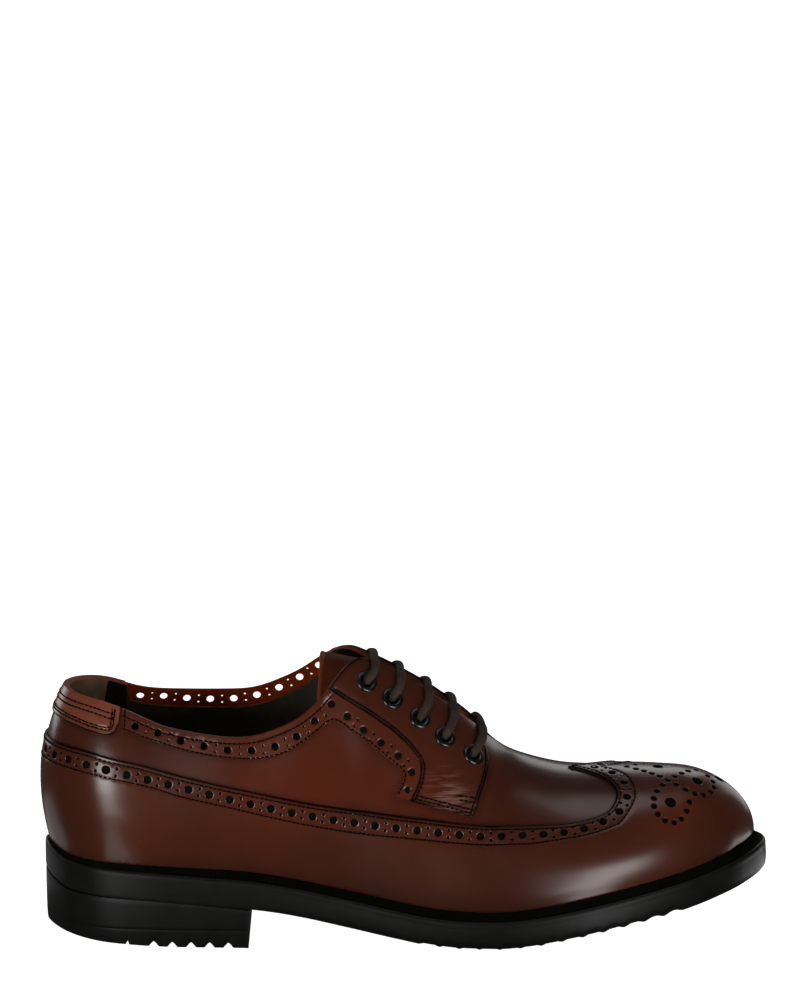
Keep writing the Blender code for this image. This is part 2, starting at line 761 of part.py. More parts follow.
def sole_positions():
    """Columns of the sole, with three at each notch between two lugs."""
    plain = span(0.0, S_TOE, SOLE_COLUMNS)
    notches = [SOLE_NOTCHES_FROM + LUG_PITCH * i for i in range(SOLE_NOTCHES)]
    first, last = notches[0] - 4.0, notches[-1] + 4.0
    columns = [s for s in plain if s < first or s > last]
    for middle in notches:
        columns.extend((middle - NOTCH_HALF, middle, middle + NOTCH_HALF))
    return sorted(columns), notches


def notch_lift(s, notches):
    return NOTCH_DEPTH if min(abs(s - middle) for middle in notches) < 0.01 else 0.0


def plan_at(s, side, distance):
    """Plan point in from the sole's edge towards the ridge."""
    edge, middle = sole_edge(s, side), core(s)
    return edge + (middle - edge).normalized() * distance


def at_height(point, z):
    return Vector((point.x, point.y, z))


def on_outsole(point, rise=0.0):
    """A point on the outsole's top, or above it."""
    return at_height(point, sole_sizes(point.x)[0] + OUTSOLE_EDGE + rise)


def under_sole(point, share, rise=0.0):
    """A point on the outsole's underside, a share of the way from edge height to middle height."""
    edge_z, middle_z, _ = sole_sizes(point.x)
    return at_height(point, edge_z + (middle_z - edge_z) * share + rise)


def build_outsole(shoe):
    positions, notches = sole_positions()

    share = NOTCH_REACH / MIDDLE_INSET

    def section(s, side):
        edge = sole_edge(s, side)
        bulge = plan_at(s, side, -EDGE_BULGE)
        reach = plan_at(s, side, NOTCH_REACH)
        wall = plan_at(s, side, NOTCH_REACH + NOTCH_WALL)
        lift = notch_lift(s, notches)
        return [
            on_outsole(core(s)),
            on_outsole(plan_at(s, side, MIDDLE_INSET)),
            on_outsole(edge),
            at_height(bulge, sole_sizes(edge.x)[0] + OUTSOLE_EDGE / 2.0),
            under_sole(edge, 0.0, lift),
            under_sole(reach, share, lift),
            under_sole(wall, share),
            under_sole(plan_at(s, side, MIDDLE_INSET), 1.0),
            under_sole(core(s), 1.0),
        ]

    return sweep(shoe, "outsole", positions, section, "rubber")


def build_welt(shoe):
    """The welt: a ring on the sole's edge that rises to the feather and tucks under the upper."""

    def section(s, side):
        edge_z, _, width = sole_sizes(sole_edge(s, side).x)
        feather_z = edge_z + FEATHER_RISE - 2.0 * GAP
        rim = inset(s, side, WELT_SET_IN)
        inner = inset(s, side, width + WELT_TUCK)
        return [
            on_outsole(rim, GAP),
            on_outsole(rim, GAP + WELT_EDGE),
            at_height(inset(s, side, width - WELT_SET_IN), feather_z),
            at_height(inner, feather_z),
            on_outsole(inner, GAP),
        ]

    return sweep(shoe, "welt", span(0.0, S_TOE, SOLE_COLUMNS), section, "welt", closed=True)


def build_insole(shoe):
    """The insole: the floor of the shoe, inside the welt."""

    def section(s, side):
        width = sole_sizes(sole_edge(s, side).x)[2]
        rim = inset(s, side, width + WELT_TUCK + GAP)
        ring = plan_at(s, side, MIDDLE_INSET)
        middle = core(s)
        high = FEATHER_RISE + INSOLE_RISE - OUTSOLE_EDGE
        top = [on_outsole(point, high) for point in (middle, ring, rim)]
        return top + [on_outsole(point, GAP) for point in (rim, ring, middle)]

    return sweep(shoe, "insole", span(0.0, S_TOE, SOLE_COLUMNS), section, "insole")


def heel_positions():
    """Columns of the heel from its back to the breast, with three at each notch."""
    breast = s_at_station(HEEL_BREAST)
    first = s_at_station(HEEL_NOTCHES_FROM)
    notches = [first + LUG_PITCH * i for i in range(HEEL_NOTCHES)]
    columns = span(0.0, first - 3.5, 7) + [breast]
    for middle in notches:
        columns.extend((middle - NOTCH_HALF, middle, middle + NOTCH_HALF))
    return sorted(s for s in columns if s <= breast), notches


def heel_plan(s, side, distance):
    """Plan point of the heel, with the breast cut straight across."""
    point = plan_at(s, side, distance)
    return Vector((min(point.x, HEEL_BREAST), point.y))


def heel_bottom(u):
    back = max(0.0, 1.0 - u / HEEL_FLAT_FROM)
    return HEEL_BACK_RISE * back ** 1.5


def build_heel(shoe):
    positions, notches = heel_positions()
    plain = span(0.0, positions[-1], HEEL_COLUMNS)

    def block(s, side):
        edge = sole_edge(s, side)
        top = sole_sizes(edge.x)[0] - GAP
        middle = sole_sizes(core(s).x)[1] - GAP
        low = LIFT_TOP + GAP
        return [
            at_height(core(s), min(top, middle)),
            at_height(heel_plan(s, side, 0.0), min(top, middle)),
            at_height(heel_plan(s, side, HEEL_TAPER), low),
            at_height(core(s), low),
        ]

    def lift(s, side):
        notch = notch_lift(s, notches)
        rim = heel_plan(s, side, HEEL_TAPER)
        low = heel_bottom(rim.x)
        inner = heel_plan(s, side, NOTCH_REACH)
        inner_low = heel_bottom(inner.x)
        face = heel_plan(s, side, NOTCH_REACH + NOTCH_WALL)
        return [
            at_height(core(s), LIFT_TOP),
            at_height(rim, LIFT_TOP),
            at_height(rim, low + notch),
            at_height(inner, inner_low + notch),
            at_height(face, heel_bottom(face.x)),
            at_height(core(s), heel_bottom(core(s).x)),
        ]

    sweep(shoe, "heel_block", plain, block, "rubber", end_cap=True)
    sweep(shoe, "top_lift", positions, lift, "rubber", end_cap=True)


def main():
    shoe = Shoe()
    build_outsole(shoe)
    build_welt(shoe)
    build_insole(shoe)
    build_heel(shoe)
    holes = eyelet_cutter(shoe)
    cut(build_upper(shoe), holes)
    build_wing(shoe)
    build_heel_tab(shoe)
    for side in SIDES:
        cut(build_facing(shoe, side), holes)
        build_collar_trim(shoe, side)
    build_tongue(shoe)
    build_eyelets(shoe)
    build_lace_bars(shoe)
    shoe.origin.location = Vector((-MIDDLE_U, -MIDDLE_Y, 0.0)) * MM


main()
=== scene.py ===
"""Looks of a right long-wing derby brogue in burnished brown calf on a black welted rubber sole.

Shapes are worked out in millimetres in the shoe's own terms: u runs forward from the back of the heel, y is
positive on the medial (inner) side and z is up. s is the distance round the sole's edge from the heel, and
q is the same with a sign: negative on the lateral side, positive on the medial side. v runs up the upper,
from 0 at the welt to 1 at its top edge. The upper's pieces are cut on a flat pattern and laid on the last.
"""

import math

import bpy
import numpy as np
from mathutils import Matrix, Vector
from mathutils.bvhtree import BVHTree
from mathutils.geometry import delaunay_2d_cdt
from mathutils.kdtree import KDTree

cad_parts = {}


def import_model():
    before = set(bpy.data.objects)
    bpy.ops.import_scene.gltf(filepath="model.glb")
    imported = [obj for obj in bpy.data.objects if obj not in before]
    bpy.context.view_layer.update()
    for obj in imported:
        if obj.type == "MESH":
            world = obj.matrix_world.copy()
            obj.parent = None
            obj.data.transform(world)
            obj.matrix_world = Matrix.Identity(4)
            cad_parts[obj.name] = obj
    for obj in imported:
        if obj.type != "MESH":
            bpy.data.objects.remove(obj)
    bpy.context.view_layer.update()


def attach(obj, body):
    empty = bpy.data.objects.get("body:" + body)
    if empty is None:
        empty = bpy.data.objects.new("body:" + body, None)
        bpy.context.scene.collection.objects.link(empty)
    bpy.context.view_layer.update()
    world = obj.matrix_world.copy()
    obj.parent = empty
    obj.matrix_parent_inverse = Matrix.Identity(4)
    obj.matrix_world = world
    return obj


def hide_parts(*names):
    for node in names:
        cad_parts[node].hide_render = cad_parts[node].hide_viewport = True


# Metres in a millimetre, and the point of the shoe's own terms that lies at the frame's origin
MM = 0.001
MIDDLE = np.array((154.1, 0.2, 0.0))
LATERAL, MEDIAL = -1, 1
SIDES = (LATERAL, MEDIAL)
SIDE_NAMES = {LATERAL: "lateral", MEDIAL: "medial"}

# Material slots of a cut piece of leather
FACE, BACK, CUT, RIM = range(4)

# The last and the sole, with the same sizes as the solids
SOLE_LENGTH, TOE_TIP_Y = 310.0, 7.0

# Plan of the sole's edge: station u, lateral half width, medial half width
OUTLINE = (
    (8.0, 19.0, 18.5), (22.0, 30.5, 29.5), (40.0, 34.5, 33.5), (86.0, 37.0, 32.0), (125.0, 40.5, 27.5),
    (160.0, 47.0, 34.5), (195.0, 52.0, 47.0), (226.0, 49.5, 52.5), (255.0, 42.5, 48.5), (280.0, 31.5, 40.5),
    (299.0, 16.5, 30.0),
)

# Sole along the foot: station u, height of the edge's underside, height of the middle's, width of the welt
SOLE = (
    (0.0, 21.4, 21.4, 3.4), (36.0, 20.4, 20.4, 4.0), (65.0, 19.0, 19.0, 4.6), (88.0, 17.6, 17.1, 5.0),
    (109.0, 14.6, 13.1, 5.0), (130.0, 10.6, 8.1, 5.0), (151.0, 6.8, 3.6, 5.2), (166.0, 4.5, 1.0, 5.4),
    (178.0, 3.8, 0.0, 5.5), (194.0, 4.0, 0.0, 5.5), (207.0, 5.0, 1.2, 5.5), (226.0, 7.9, 4.3, 5.5),
    (244.0, 11.2, 7.9, 5.5), (261.0, 14.3, 11.3, 5.5), (278.0, 17.5, 14.9, 5.4), (292.0, 20.7, 18.5, 5.8),
    (310.0, 24.6, 23.1, 6.2),
)
OUTSOLE_EDGE, WELT_EDGE, FEATHER_RISE = 9.2, 3.0, 15.5

# Ridge of the last: station u, sideways place
RIDGE = ((0.0, 0.0), (90.0, 0.0), (150.0, 0.5), (200.0, 2.5), (250.0, 5.0), (272.0, 6.5))
HEEL_PIVOT_FROM, HEEL_PIVOT_REACH = 50.0, 18.0
TOE_PIVOT_FROM, TOE_PIVOT_REACH, TOE_POLE_S = 250.0, 24.0, 297.0

# Sections of the last: station u of the feather, distance of the top edge from the ridge, its height, what
# the medial side adds, then the curve's two handles, each with its distance out and its share of the height
SECTIONS = (
    (3.4, 23.2, 107.5, 0.0, 6.2, 0.33, 12.6, 0.67), (20.0, 22.3, 105.6, -0.4, 6.0, 0.33, 12.2, 0.67),
    (36.0, 22.8, 101.6, -0.8, 5.5, 0.33, 11.0, 0.67), (56.0, 26.5, 94.7, 3.0, 4.0, 0.33, 7.0, 0.67),
    (85.0, 29.5, 91.5, 5.5, 3.5, 0.33, 5.0, 0.67), (106.0, 29.5, 97.8, 6.0, 3.0, 0.33, 5.5, 0.67),
    (119.0, 27.5, 107.8, 5.0, 2.5, 0.33, 7.0, 0.68), (128.0, 21.5, 118.3, -0.3, 2.0, 0.34, 12.0, 0.74),
    (133.0, 15.0, 121.9, -2.4, 1.5, 0.36, 17.5, 0.80), (138.0, 9.5, 120.5, -2.4, 1.5, 0.37, 21.5, 0.83),
    (163.0, 8.0, 106.4, -1.0, 1.0, 0.40, 19.0, 0.87), (180.0, 7.2, 93.6, 0.0, 1.3, 0.44, 19.5, 0.91),
    (189.0, 5.0, 86.0, 0.0, 1.5, 0.46, 21.5, 0.94), (196.0, 0.0, 79.4, 0.0, 1.5, 0.48, 25.5, 0.98),
    (207.0, 0.0, 74.0, 0.0, 1.7, 0.50, 25.5, 1.0), (226.0, 0.0, 69.4, 0.0, 2.0, 0.52, 25.0, 1.0),
    (262.0, 0.0, 67.8, 0.0, 2.0, 0.52, 23.0, 1.0), (274.0, 0.0, 67.4, 0.0, 1.8, 0.51, 22.0, 1.0),
    (290.0, 0.0, 67.4, 0.0, 1.5, 0.50, 23.5, 1.0), (304.0, 0.0, 67.4, 0.0, 0.0, 0.45, 25.0, 1.0),
)

# Blend between the sections, width of the flat pattern's sides, mesh of the last and steps for its normals
SECTION_SOFT, SECTION_STEPS = 7.0, 9
FLAT_SPAN = 85.0
LAST_COLUMNS, LAST_ROWS, ABOVE_LAST = 190, 60, 200.0
NORMAL_STEP_Q, NORMAL_STEP_V, NORMAL_TOP, RIDGE_JOINED = 0.6, 0.004, 0.97, 0.5

# Spacing of points along lines and tables, in gaps, along rims and over the face of a panel
LINE_STEP, ROW_STEP, GAP_STEP, GAP_LEAST, RIM_STEP, PANEL_STEP = 1.2, 3.0, 1.5, 0.05, 0.3, 2.2
FEATHER_POINTS = 480
TINY = 1e-9

# Leather overlays: heights of their faces and backs over the last, rounding of cut edges, sunk seams, lighter
# rims, darkening at the wing's foot, tone of the strip, and the facing's brushed strokes, a painted
# highlight, by s and z
WING_TOP, FACING_TOP, STRIP_TOP, TAB_TOP = 1.1, 1.25, 0.4, 1.0
OVERLAY_FOOT, STRIP_FOOT = 0.05, -0.5
EDGE_ROUND, EDGE_WIDTH = 0.35, 0.5
HOLE_ROUND, HOLE_WIDTH = 0.12, 0.28
EDGE_CLEAR = 0.8 * HOLE_WIDTH
SEAM_DEPTH, SEAM_HALF = 0.16, 0.5
RIM_NEAR, WING_FOOT_EDGE, WING_FOOT_FADE = 0.4, 0.8, 0.3
STRIP_TONE, STRIP_WARMTH, STRIP_EDGE = 0.8, 0.1, 3.0
BRUSH_HIGHLIGHT_PLACE, BRUSH_HIGHLIGHT_RADIUS = (191.5, 65.0), 8.0

# Lined upper: its wall, the band of the collar where the strip alone goes on, the ends of that band with
# their runs, the shares that give its girth there, the reach of the throat and of the linings at the back,
# and how far its leather shows under the overlays
UPPER_WALL = 2.0
COLLAR_BAND = 8.3
COLLAR_START, COLLAR_START_RUN, COLLAR_STOP, COLLAR_STOP_RUN = 50.0, 1.2, 137.5, 3.0
GIRTH_LOW, GIRTH_HIGH = 0.90, 0.98
THROAT_REACH, HEEL_LINING_REACH, TAB_LINING_REACH = 206.0, 39.0, 50.0
UNDERLAP = 1.6

# Pattern lines by distance s round the edge and height z on the lateral side; over the toe by s and v
WING_SIDE = (
    (0.0, 86.0), (28.0, 85.2), (54.0, 80.8), (76.0, 75.3), (95.0, 71.0), (115.0, 67.0), (134.0, 63.5),
    (154.0, 60.9), (178.0, 58.0), (200.0, 55.6), (213.0, 54.5), (226.0, 53.9), (238.0, 53.7),
)
WING_TOE = {
    LATERAL: ((247.0, 0.476), (255.5, 0.502), (261.2, 0.545), (264.0, 0.618), (264.4, 0.70), (261.3, 0.785),
              (256.1, 0.86), (249.6, 0.917), (243.6, 0.956)),
    MEDIAL: ((247.0, 0.476), (255.5, 0.502), (261.2, 0.545), (264.0, 0.618), (264.6, 0.71), (262.3, 0.81),
             (257.5, 0.90), (251.5, 0.965), (247.5, 1.0)),
}
BAND_SIDE = (
    (0.0, 77.0), (13.0, 77.0), (24.0, 76.8), (37.0, 75.5), (50.0, 73.4), (65.5, 69.9), (76.2, 66.6),
    (95.5, 62.3), (115.0, 57.8), (134.0, 54.0), (153.6, 51.2), (173.4, 49.7), (187.0, 48.6), (199.7, 47.8),
    (212.4, 47.3), (225.0, 47.3), (237.0, 48.2), (249.3, 49.4), (258.8, 51.2), (266.1, 53.3),
)
BAND_TOE = {
    LATERAL: ((270.2, 0.53), (272.8, 0.63), (272.3, 0.74), (268.6, 0.85), (263.1, 0.925), (258.0, 0.97)),
    MEDIAL: ((270.2, 0.53), (272.8, 0.63), (272.6, 0.75), (269.6, 0.87), (265.1, 0.955), (261.5, 1.0)),
}
HOLE_SIDE = (
    (0.0, 81.6), (14.3, 80.2), (24.5, 80.1), (34.1, 79.1), (43.8, 77.7), (52.9, 75.8), (62.1, 73.6),
    (71.1, 71.6), (88.7, 67.4), (105.6, 63.5), (122.9, 60.0), (140.5, 57.1), (157.8, 54.9), (176.2, 53.1),
    (194.8, 51.5), (213.6, 50.5), (232.0, 50.4), (250.0, 51.7), (258.6, 53.9), (265.7, 56.8),
)
HOLE_TOE = {
    LATERAL: ((269.4, 0.65), (268.2, 0.76), (263.5, 0.868), (257.5, 0.935), (252.5, 0.97)),
    MEDIAL: ((269.4, 0.65), (268.6, 0.77), (265.0, 0.88), (260.0, 0.96), (256.0, 1.0)),
}
COLLAR_LOW = ((51.0, 93.6), (60.0, 90.4), (68.0, 88.2), (82.0, 84.6), (96.0, 82.5), (106.0, 82.1),
              (117.0, 83.8), (124.0, 87.0), (131.0, 91.9), (138.0, 97.6))
COLLAR_HOLES = {
    LATERAL: ((56.6, 95.1), (67.0, 92.5), (76.4, 89.6), (85.7, 87.7), (95.3, 86.2), (104.4, 85.9),
              (112.9, 86.8), (121.4, 89.9), (128.1, 94.1), (134.8, 100.3), (140.0, 105.4)),
    MEDIAL: ((56.6, 95.1), (67.0, 92.5), (76.4, 89.8), (85.7, 88.2), (95.3, 87.3), (104.4, 88.0),
             (112.9, 90.0), (121.4, 93.6), (128.1, 98.0), (134.8, 103.6)),
}
COLLAR_PITCH = {LATERAL: 9.9, MEDIAL: 10.1}
STRIP_REAR = ((141.0, 98.7), (150.0, 92.9), (160.4, 85.1), (168.8, 78.3), (170.8, 75.0), (166.9, 66.8))
STRIP_HOLES = ((140.0, 105.4), (147.0, 99.9), (154.0, 93.6), (161.2, 88.5), (168.8, 82.9), (174.2, 76.7),
               (171.1, 69.1))
STRIP_PITCH, STRIP_LAST_HOLE, STRIP_LAST_RADIUS = 8.6, (172.4, 69.6), 1.45
FACING_REAR = ((173.4, 65.0), (177.6, 73.5), (178.2, 78.5), (174.6, 84.6), (168.2, 91.0), (158.3, 98.2),
               (147.0, 105.8), (138.8, 111.4))
FACING_TACKS = (((194.4, 66.6), (202.9, 65.4)), ((194.8, 65.0), (202.4, 63.6)))
FACING_FOOT = (200.9, 58.2)
FACING_FRONT = ((203.8, 65.0), (206.7, 71.9), (208.0, 76.8), (207.6, 81.0))
FACING_TOP_REAR, FACING_TOP_FRONT = 140.0, 203.5
STRIP_TUCK, STRIP_END_GAP = 1.6, 0.6
TAB_TOP_S = 49.0
TAB_EDGE = ((48.7, 95.4), (47.4, 92.6), (43.6, 91.6), (35.2, 92.6), (27.0, 94.1), (15.0, 95.4), (0.0, 95.9))

# Brogueing: radius of the holes, spacing, and the pair of pinholes between each two
HOLE_RADIUS, HOLE_PITCH = 1.7, 8.9
PIN_RADIUS, PIN_SPREAD = 0.62, 1.55
COLLAR_HOLE_RADIUS, COLLAR_PIN_RADIUS = 1.65, 0.5

# Toe medallion in plan: small holes on one side of its middle line, large ones on that side, those on the
# line, the line itself; then the radii of the holes and the number of points round each kind of hole
MEDALLION_SMALL = (
    (253.4, 0.6), (256.8, -1.4), (260.0, -3.3), (263.4, -5.2), (266.7, -7.4), (270.2, -9.5), (274.0, -11.4),
    (278.0, -12.2), (281.6, -11.2), (284.6, -8.2), (286.2, -4.2), (286.0, -0.2), (284.0, 3.2),
    (269.8, -4.2), (272.8, -1.0), (275.8, 2.6), (264.4, -10.8), (261.8, -14.6), (260.3, -18.4),
    (260.2, -21.8), (261.7, -24.4), (264.8, -25.7), (268.6, -25.2), (271.8, -23.2), (274.1, -20.1),
    (275.5, -16.4),
)
MEDALLION_LARGE = ((279.2, -4.6), (267.4, -18.8))
MEDALLION_MIDDLE_SMALL = ((249.6, 3.0), (279.4, 6.5))
MEDALLION_MIDDLE_LARGE = ((263.0, 5.6), (289.0, 6.8))
MEDALLION_LINE = ((240.0, 1.5), (249.6, 3.0), (263.0, 5.6), (279.0, 6.4), (300.0, 7.0))
SMALL_HOLE, LARGE_HOLE = 1.3, 2.4
PIN_SEGMENTS, SMALL_SEGMENTS, HOLE_SEGMENTS, EYE_SEGMENTS = 10, 14, 18, 20

# Eyelets: distance s, share v; the rolled ring; then the runs of the lace from an eyelet to the ridge
EYELETS = ((154.6, 0.863), (165.7, 0.821), (177.8, 0.785), (188.7, 0.751), (201.2, 0.733))
EYELET_OUTER, EYELET_INNER, EYELET_RISE, EYELET_DEPTH = 4.7, 2.45, 0.9, 3.0
EYELET_SUNK, EYELET_SLACK, EYELET_ROLL = 0.1, 0.1, 0.12
EYELET_SEGMENTS, EYELET_STEPS = 36, 10
LACE_RADIUS, LACE_POINTS, TUBE_SIDES = 1.9, 64, 14
LACE_SHARES = (0.0, 0.12, 0.40, 0.75, 1.0)
LACE_SWAY = {LATERAL: (0.0, 0.8, 2.6, 3.4, 3.2), MEDIAL: (0.0, -0.6, -0.6, 0.8, 2.6)}
LACE_RISE = {LATERAL: (-4.5, 0.3, 1.7, 1.4, 0.6), MEDIAL: (-4.5, 0.3, 1.2, 0.6, 0.2)}

# Tongue: stations under the facings, shares of its rows across and the free end behind the lacing
TONGUE_STATIONS = (138.0, 150.0, 162.0, 173.0, 182.0, 189.0, 196.0, 208.0)
TONGUE_SHARES = (0.74, 0.79, 0.83, 0.88, 0.93, 0.97)
TONGUE_WALL, TONGUE_CLEAR, TONGUE_CROWN = 2.2, 1.3, 1.2
TONGUE_END, TONGUE_LIFT, TONGUE_LEAN, TONGUE_TAPER, TONGUE_BEAD = 118.0, 0.17, 0.16, 0.10, 1.2
TONGUE_COLUMNS, TONGUE_FREE_COLUMNS, TONGUE_BEAD_POINTS = 30, 9, 60

# Sole details: the heel and the notches between its lugs, scallops of the forefoot, columns of each mesh
HEEL_BREAST, LIFT_TOP, HEEL_GAP = 88.0, 7.8, 0.1
HEEL_BACK_RISE, HEEL_FLAT_FROM = 3.2, 58.0
HEEL_SLIT, HEEL_NOTCHES = 36.2, (47.6, 55.5, 63.5, 71.4, 79.4)
HEEL_SLIT_HALF, HEEL_NOTCH_HALF, HEEL_NOTCH_DEPTH = 0.7, 2.1, 2.3
SCALLOP_FROM, SCALLOPS, SCALLOP_PITCH, SCALLOP_DEPTH = 178.0, 13, 8.9, 1.2
LUG_REACH, LUG_STEP, MIDDLE_INSET = 9.0, 0.8, 15.0
SOLE_COLUMNS, WELT_COLUMNS, INSOLE_COLUMNS, HEEL_COLUMNS = 1401, 1801, 241, 521

# Outsole's side below its top edge: distance in and share of its height; at the heel it is turned in less
OUTSOLE_SIDE = ((-0.1, 0.90), (-0.3, 0.62), (-0.3, 0.35), (-0.1, 0.14), (0.5, 0.03), (1.3, 0.0))
HEEL_TURN, HEEL_TURN_RUN = 0.15, 15.0

# Heel's side as distance in and height: the block from its top, then from the top lift, and the top lift from
# its top, then from its lower edge
BLOCK_TOP, BLOCK_WAIST = ((0.2, 0.0), (0.1, -0.3)), (0.05, -1.5)
BLOCK_FOOT = ((0.15, 1.5), (0.16, 0.2), (0.22, 0.1))
LIFT_UPPER = ((0.22, 0.0), (0.18, -0.15), (0.25, -1.2))
LIFT_LOWER = ((0.35, 1.4), (0.5, 0.5), (0.9, 0.1), (1.4, 0.0), (LUG_REACH, 0.0))

# Welt's rim as distance in and height; its band as shares of the width, the bulge, the rise and the teeth
WELT_RIM = ((0.2, 0.0), (0.0, 0.0), (0.0, 1.4), (0.2, 2.3), (0.7, 2.9), (1.2, WELT_EDGE))
WELT_BAND = ((0.5, 0.0, 0.15, 0.5), (0.68, 0.0, 0.4, 1.0), (0.85, 0.7, 0.75, 1.0))
WELT_GROOVE, WELT_GROOVE_DEPTH, WELT_LIP, WELT_TUCK, WELT_TUCK_SINK = 1.7, 0.3, 0.6, 3.6, 0.2
WELT_LIP_OUT, WELT_LIP_IN = 0.2, 0.4
WELT_TOOTH, WELT_TOOTH_DEPTH = 2.1, 0.25
INSOLE_TUCK, INSOLE_RISE, INSOLE_DEPTH = 3.9, 1.0, 5.0
WELT_BACK_RISE, WELT_BACK_REACH, WELT_BULGE = 2.4, 34.0, 0.34
SEAT_RISE, SEAT_REACH, SEAT_BACK_RISE, SEAT_BACK_REACH = 1.8, 75.0, 4.0, 12.0

# Stitches, and the distances of their rows from the edges that they follow
STITCH_PITCH, STITCH_LENGTH, STITCH_RADIUS, STITCH_PROUD, STITCH_AHEAD = 2.0, 1.7, 0.36, 0.1, 0.4
STITCH_RINGS, STITCH_SIDES = ((-1.0, 0.35), (-0.7, 0.95), (0.0, 1.0), (0.7, 0.95), (1.0, 0.35)), 6
WING_ROW, FACING_ROW, FACING_FOOT_ROW, TAB_ROWS = 1.8, 1.5, 3.0, (2.0, 3.1)
ROW_CLEAR = 0.85
STRIP_LOW_ROW, STRIP_HIGH_ROW, STRIP_LOW_START, STRIP_HIGH_INSET = 0.7, 1.5, 1.6, 2.0

# Tone on the pattern, partly the burnish's own warm patches and partly painted light, lighter at the heel and
# toe and
# darker along the sides: u, y, radius, strength; plus is warmer, minus is darker
TONE_BASE = 0.4
TONES_AND_PAINTED_LIGHT = (
    (105.0, -70.0, 32.0, 0.75), (160.0, -62.0, 26.0, 0.55), (225.0, -18.0, 26.0, -0.35),
    (40.0, -78.0, 28.0, 0.4), (150.0, -82.0, 34.0, -0.2), (205.0, -74.0, 22.0, -0.2),
    (272.0, -34.0, 18.0, 0.55), (300.0, 6.0, 26.0, 0.45), (105.0, 70.0, 32.0, 0.6),
    (160.0, 62.0, 26.0, 0.5), (272.0, 46.0, 18.0, 0.5), (150.0, 82.0, 34.0, 0.4),
)

# Burnished calf: dark, middle and warm colour; then the colours of burnt edges, also used as painted shade in
# sunk seams and beside the overlays, and of brushed strokes, which are lighter as a painted highlight
LEATHERS = {
    "wing": ((0.040, 0.0098, 0.0042), (0.066, 0.0146, 0.0056), (0.100, 0.0180, 0.0052)),
    "quarter": ((0.042, 0.0104, 0.0048), (0.067, 0.0142, 0.0056), (0.110, 0.0158, 0.0030)),
    "strip": ((0.052, 0.0124, 0.0054), (0.086, 0.0176, 0.0066), (0.125, 0.0205, 0.0050)),
    "trim": ((0.140, 0.0380, 0.0210), (0.225, 0.0590, 0.0290), (0.255, 0.0600, 0.0260)),
}
BURNT_EDGE_AND_SHADE, BRUSHED_HIGHLIGHT = (0.0045, 0.0022, 0.0018), (0.300, 0.170, 0.130)

# Other finishes: colour, roughness, grain in waves a metre, its depth in metres, gloss and metal
FINISHES = {
    "tongue": ((0.085, 0.0200, 0.0080), 0.7, 500.0, 0.0002, 0.05, 0.0),
    # Lighter than the tongue: a painted highlight on its rear edge.
    "tongue_edge": ((0.160, 0.0400, 0.0150), 0.6, 500.0, 0.0002, 0.1, 0.0),
    "rim": ((0.220, 0.052, 0.017), 0.6, 900.0, 0.0001, 0.1, 0.0),
    "cut_edge": (BURNT_EDGE_AND_SHADE, 0.5, 900.0, 0.0001, 0.2, 0.0),
    # Near-black underlay under the punched holes: painted shade at the bottom of the holes.
    "underlay_shade": ((0.0048, 0.0052, 0.0042), 0.8, 900.0, 0.0002, 0.05, 0.0),
    # Dark lining, darkened as painted shade inside the throat; it also covers the tongue under the lacing as
    # painted shade.
    "lining_and_shade": ((0.0420, 0.0330, 0.0190), 0.7, 700.0, 0.0002, 0.2, 0.0),
    "heel_lining": ((0.200, 0.125, 0.070), 0.65, 700.0, 0.0002, 0.2, 0.0),
    "tab_lining": ((0.008, 0.0045, 0.0030), 0.6, 700.0, 0.0002, 0.2, 0.0),
    "band_back": ((0.260, 0.0340, 0.0058), 0.7, 700.0, 0.0002, 0.03, 0.0),
    "sock": ((0.090, 0.060, 0.040), 0.7, 600.0, 0.0002, 0.5, 0.0),
    "thread": ((0.0045, 0.0030, 0.0026), 0.9, 2500.0, 0.0001, 0.03, 0.0),
    "lace": ((0.052, 0.0350, 0.0285), 0.85, 1400.0, 0.0003, 0.1, 0.0),
    "eyelet": ((0.060, 0.068, 0.065), 0.28, 500.0, 0.00005, 0.5, 1.0),
    "rubber": ((0.0066, 0.0068, 0.0060), 0.42, 500.0, 0.0001, 0.17, 0.0),
    "welt_black": ((0.0020, 0.0021, 0.0013), 0.7, 700.0, 0.0004, 0.03, 0.0),
}
MOTTLE, ROUGHNESS_SPREAD, GRAIN_STRENGTH = 0.25, 0.06, 0.25

# Camera: distance and angle from the photograph, framing as lens and shift
CAMERA_TARGET, CAMERA_DISTANCE, CAMERA_ELEVATION = (0.0014, -0.0002, 0.050), 2.3, 16.5
CAMERA_LENS, CAMERA_SHIFT, CAMERA_CLIP = 192.9, (-0.0033, 0.3116), 50.0

# Lights: name, place, the point that it is aimed at, width, height, power
LIGHTS = (
    ("left", (-0.36, -0.55, 0.09), (-0.125, 0.0, 0.05), 0.18, 0.19, 1.30),
    ("right", (0.357, -0.583, 0.10), (0.1, 0.0, 0.06), 0.22, 0.20, 1.00),
    ("left_side", (-0.94, 0.75, 0.30), (-0.1, 0.0, 0.05), 0.5, 0.6, 2.0),
    ("right_side", (0.75, 1.1, 0.30), (0.1, 0.0, 0.05), 0.5, 0.6, 1.2),
    ("back_top", (0.10, 1.3, 0.75), (0.05, 0.0, 0.06), 0.9, 0.5, 2.4),
    ("front_top", (0.12, -0.10, 1.60), (0.03, 0.0, 0.06), 1.0, 0.6, 3.0),
)

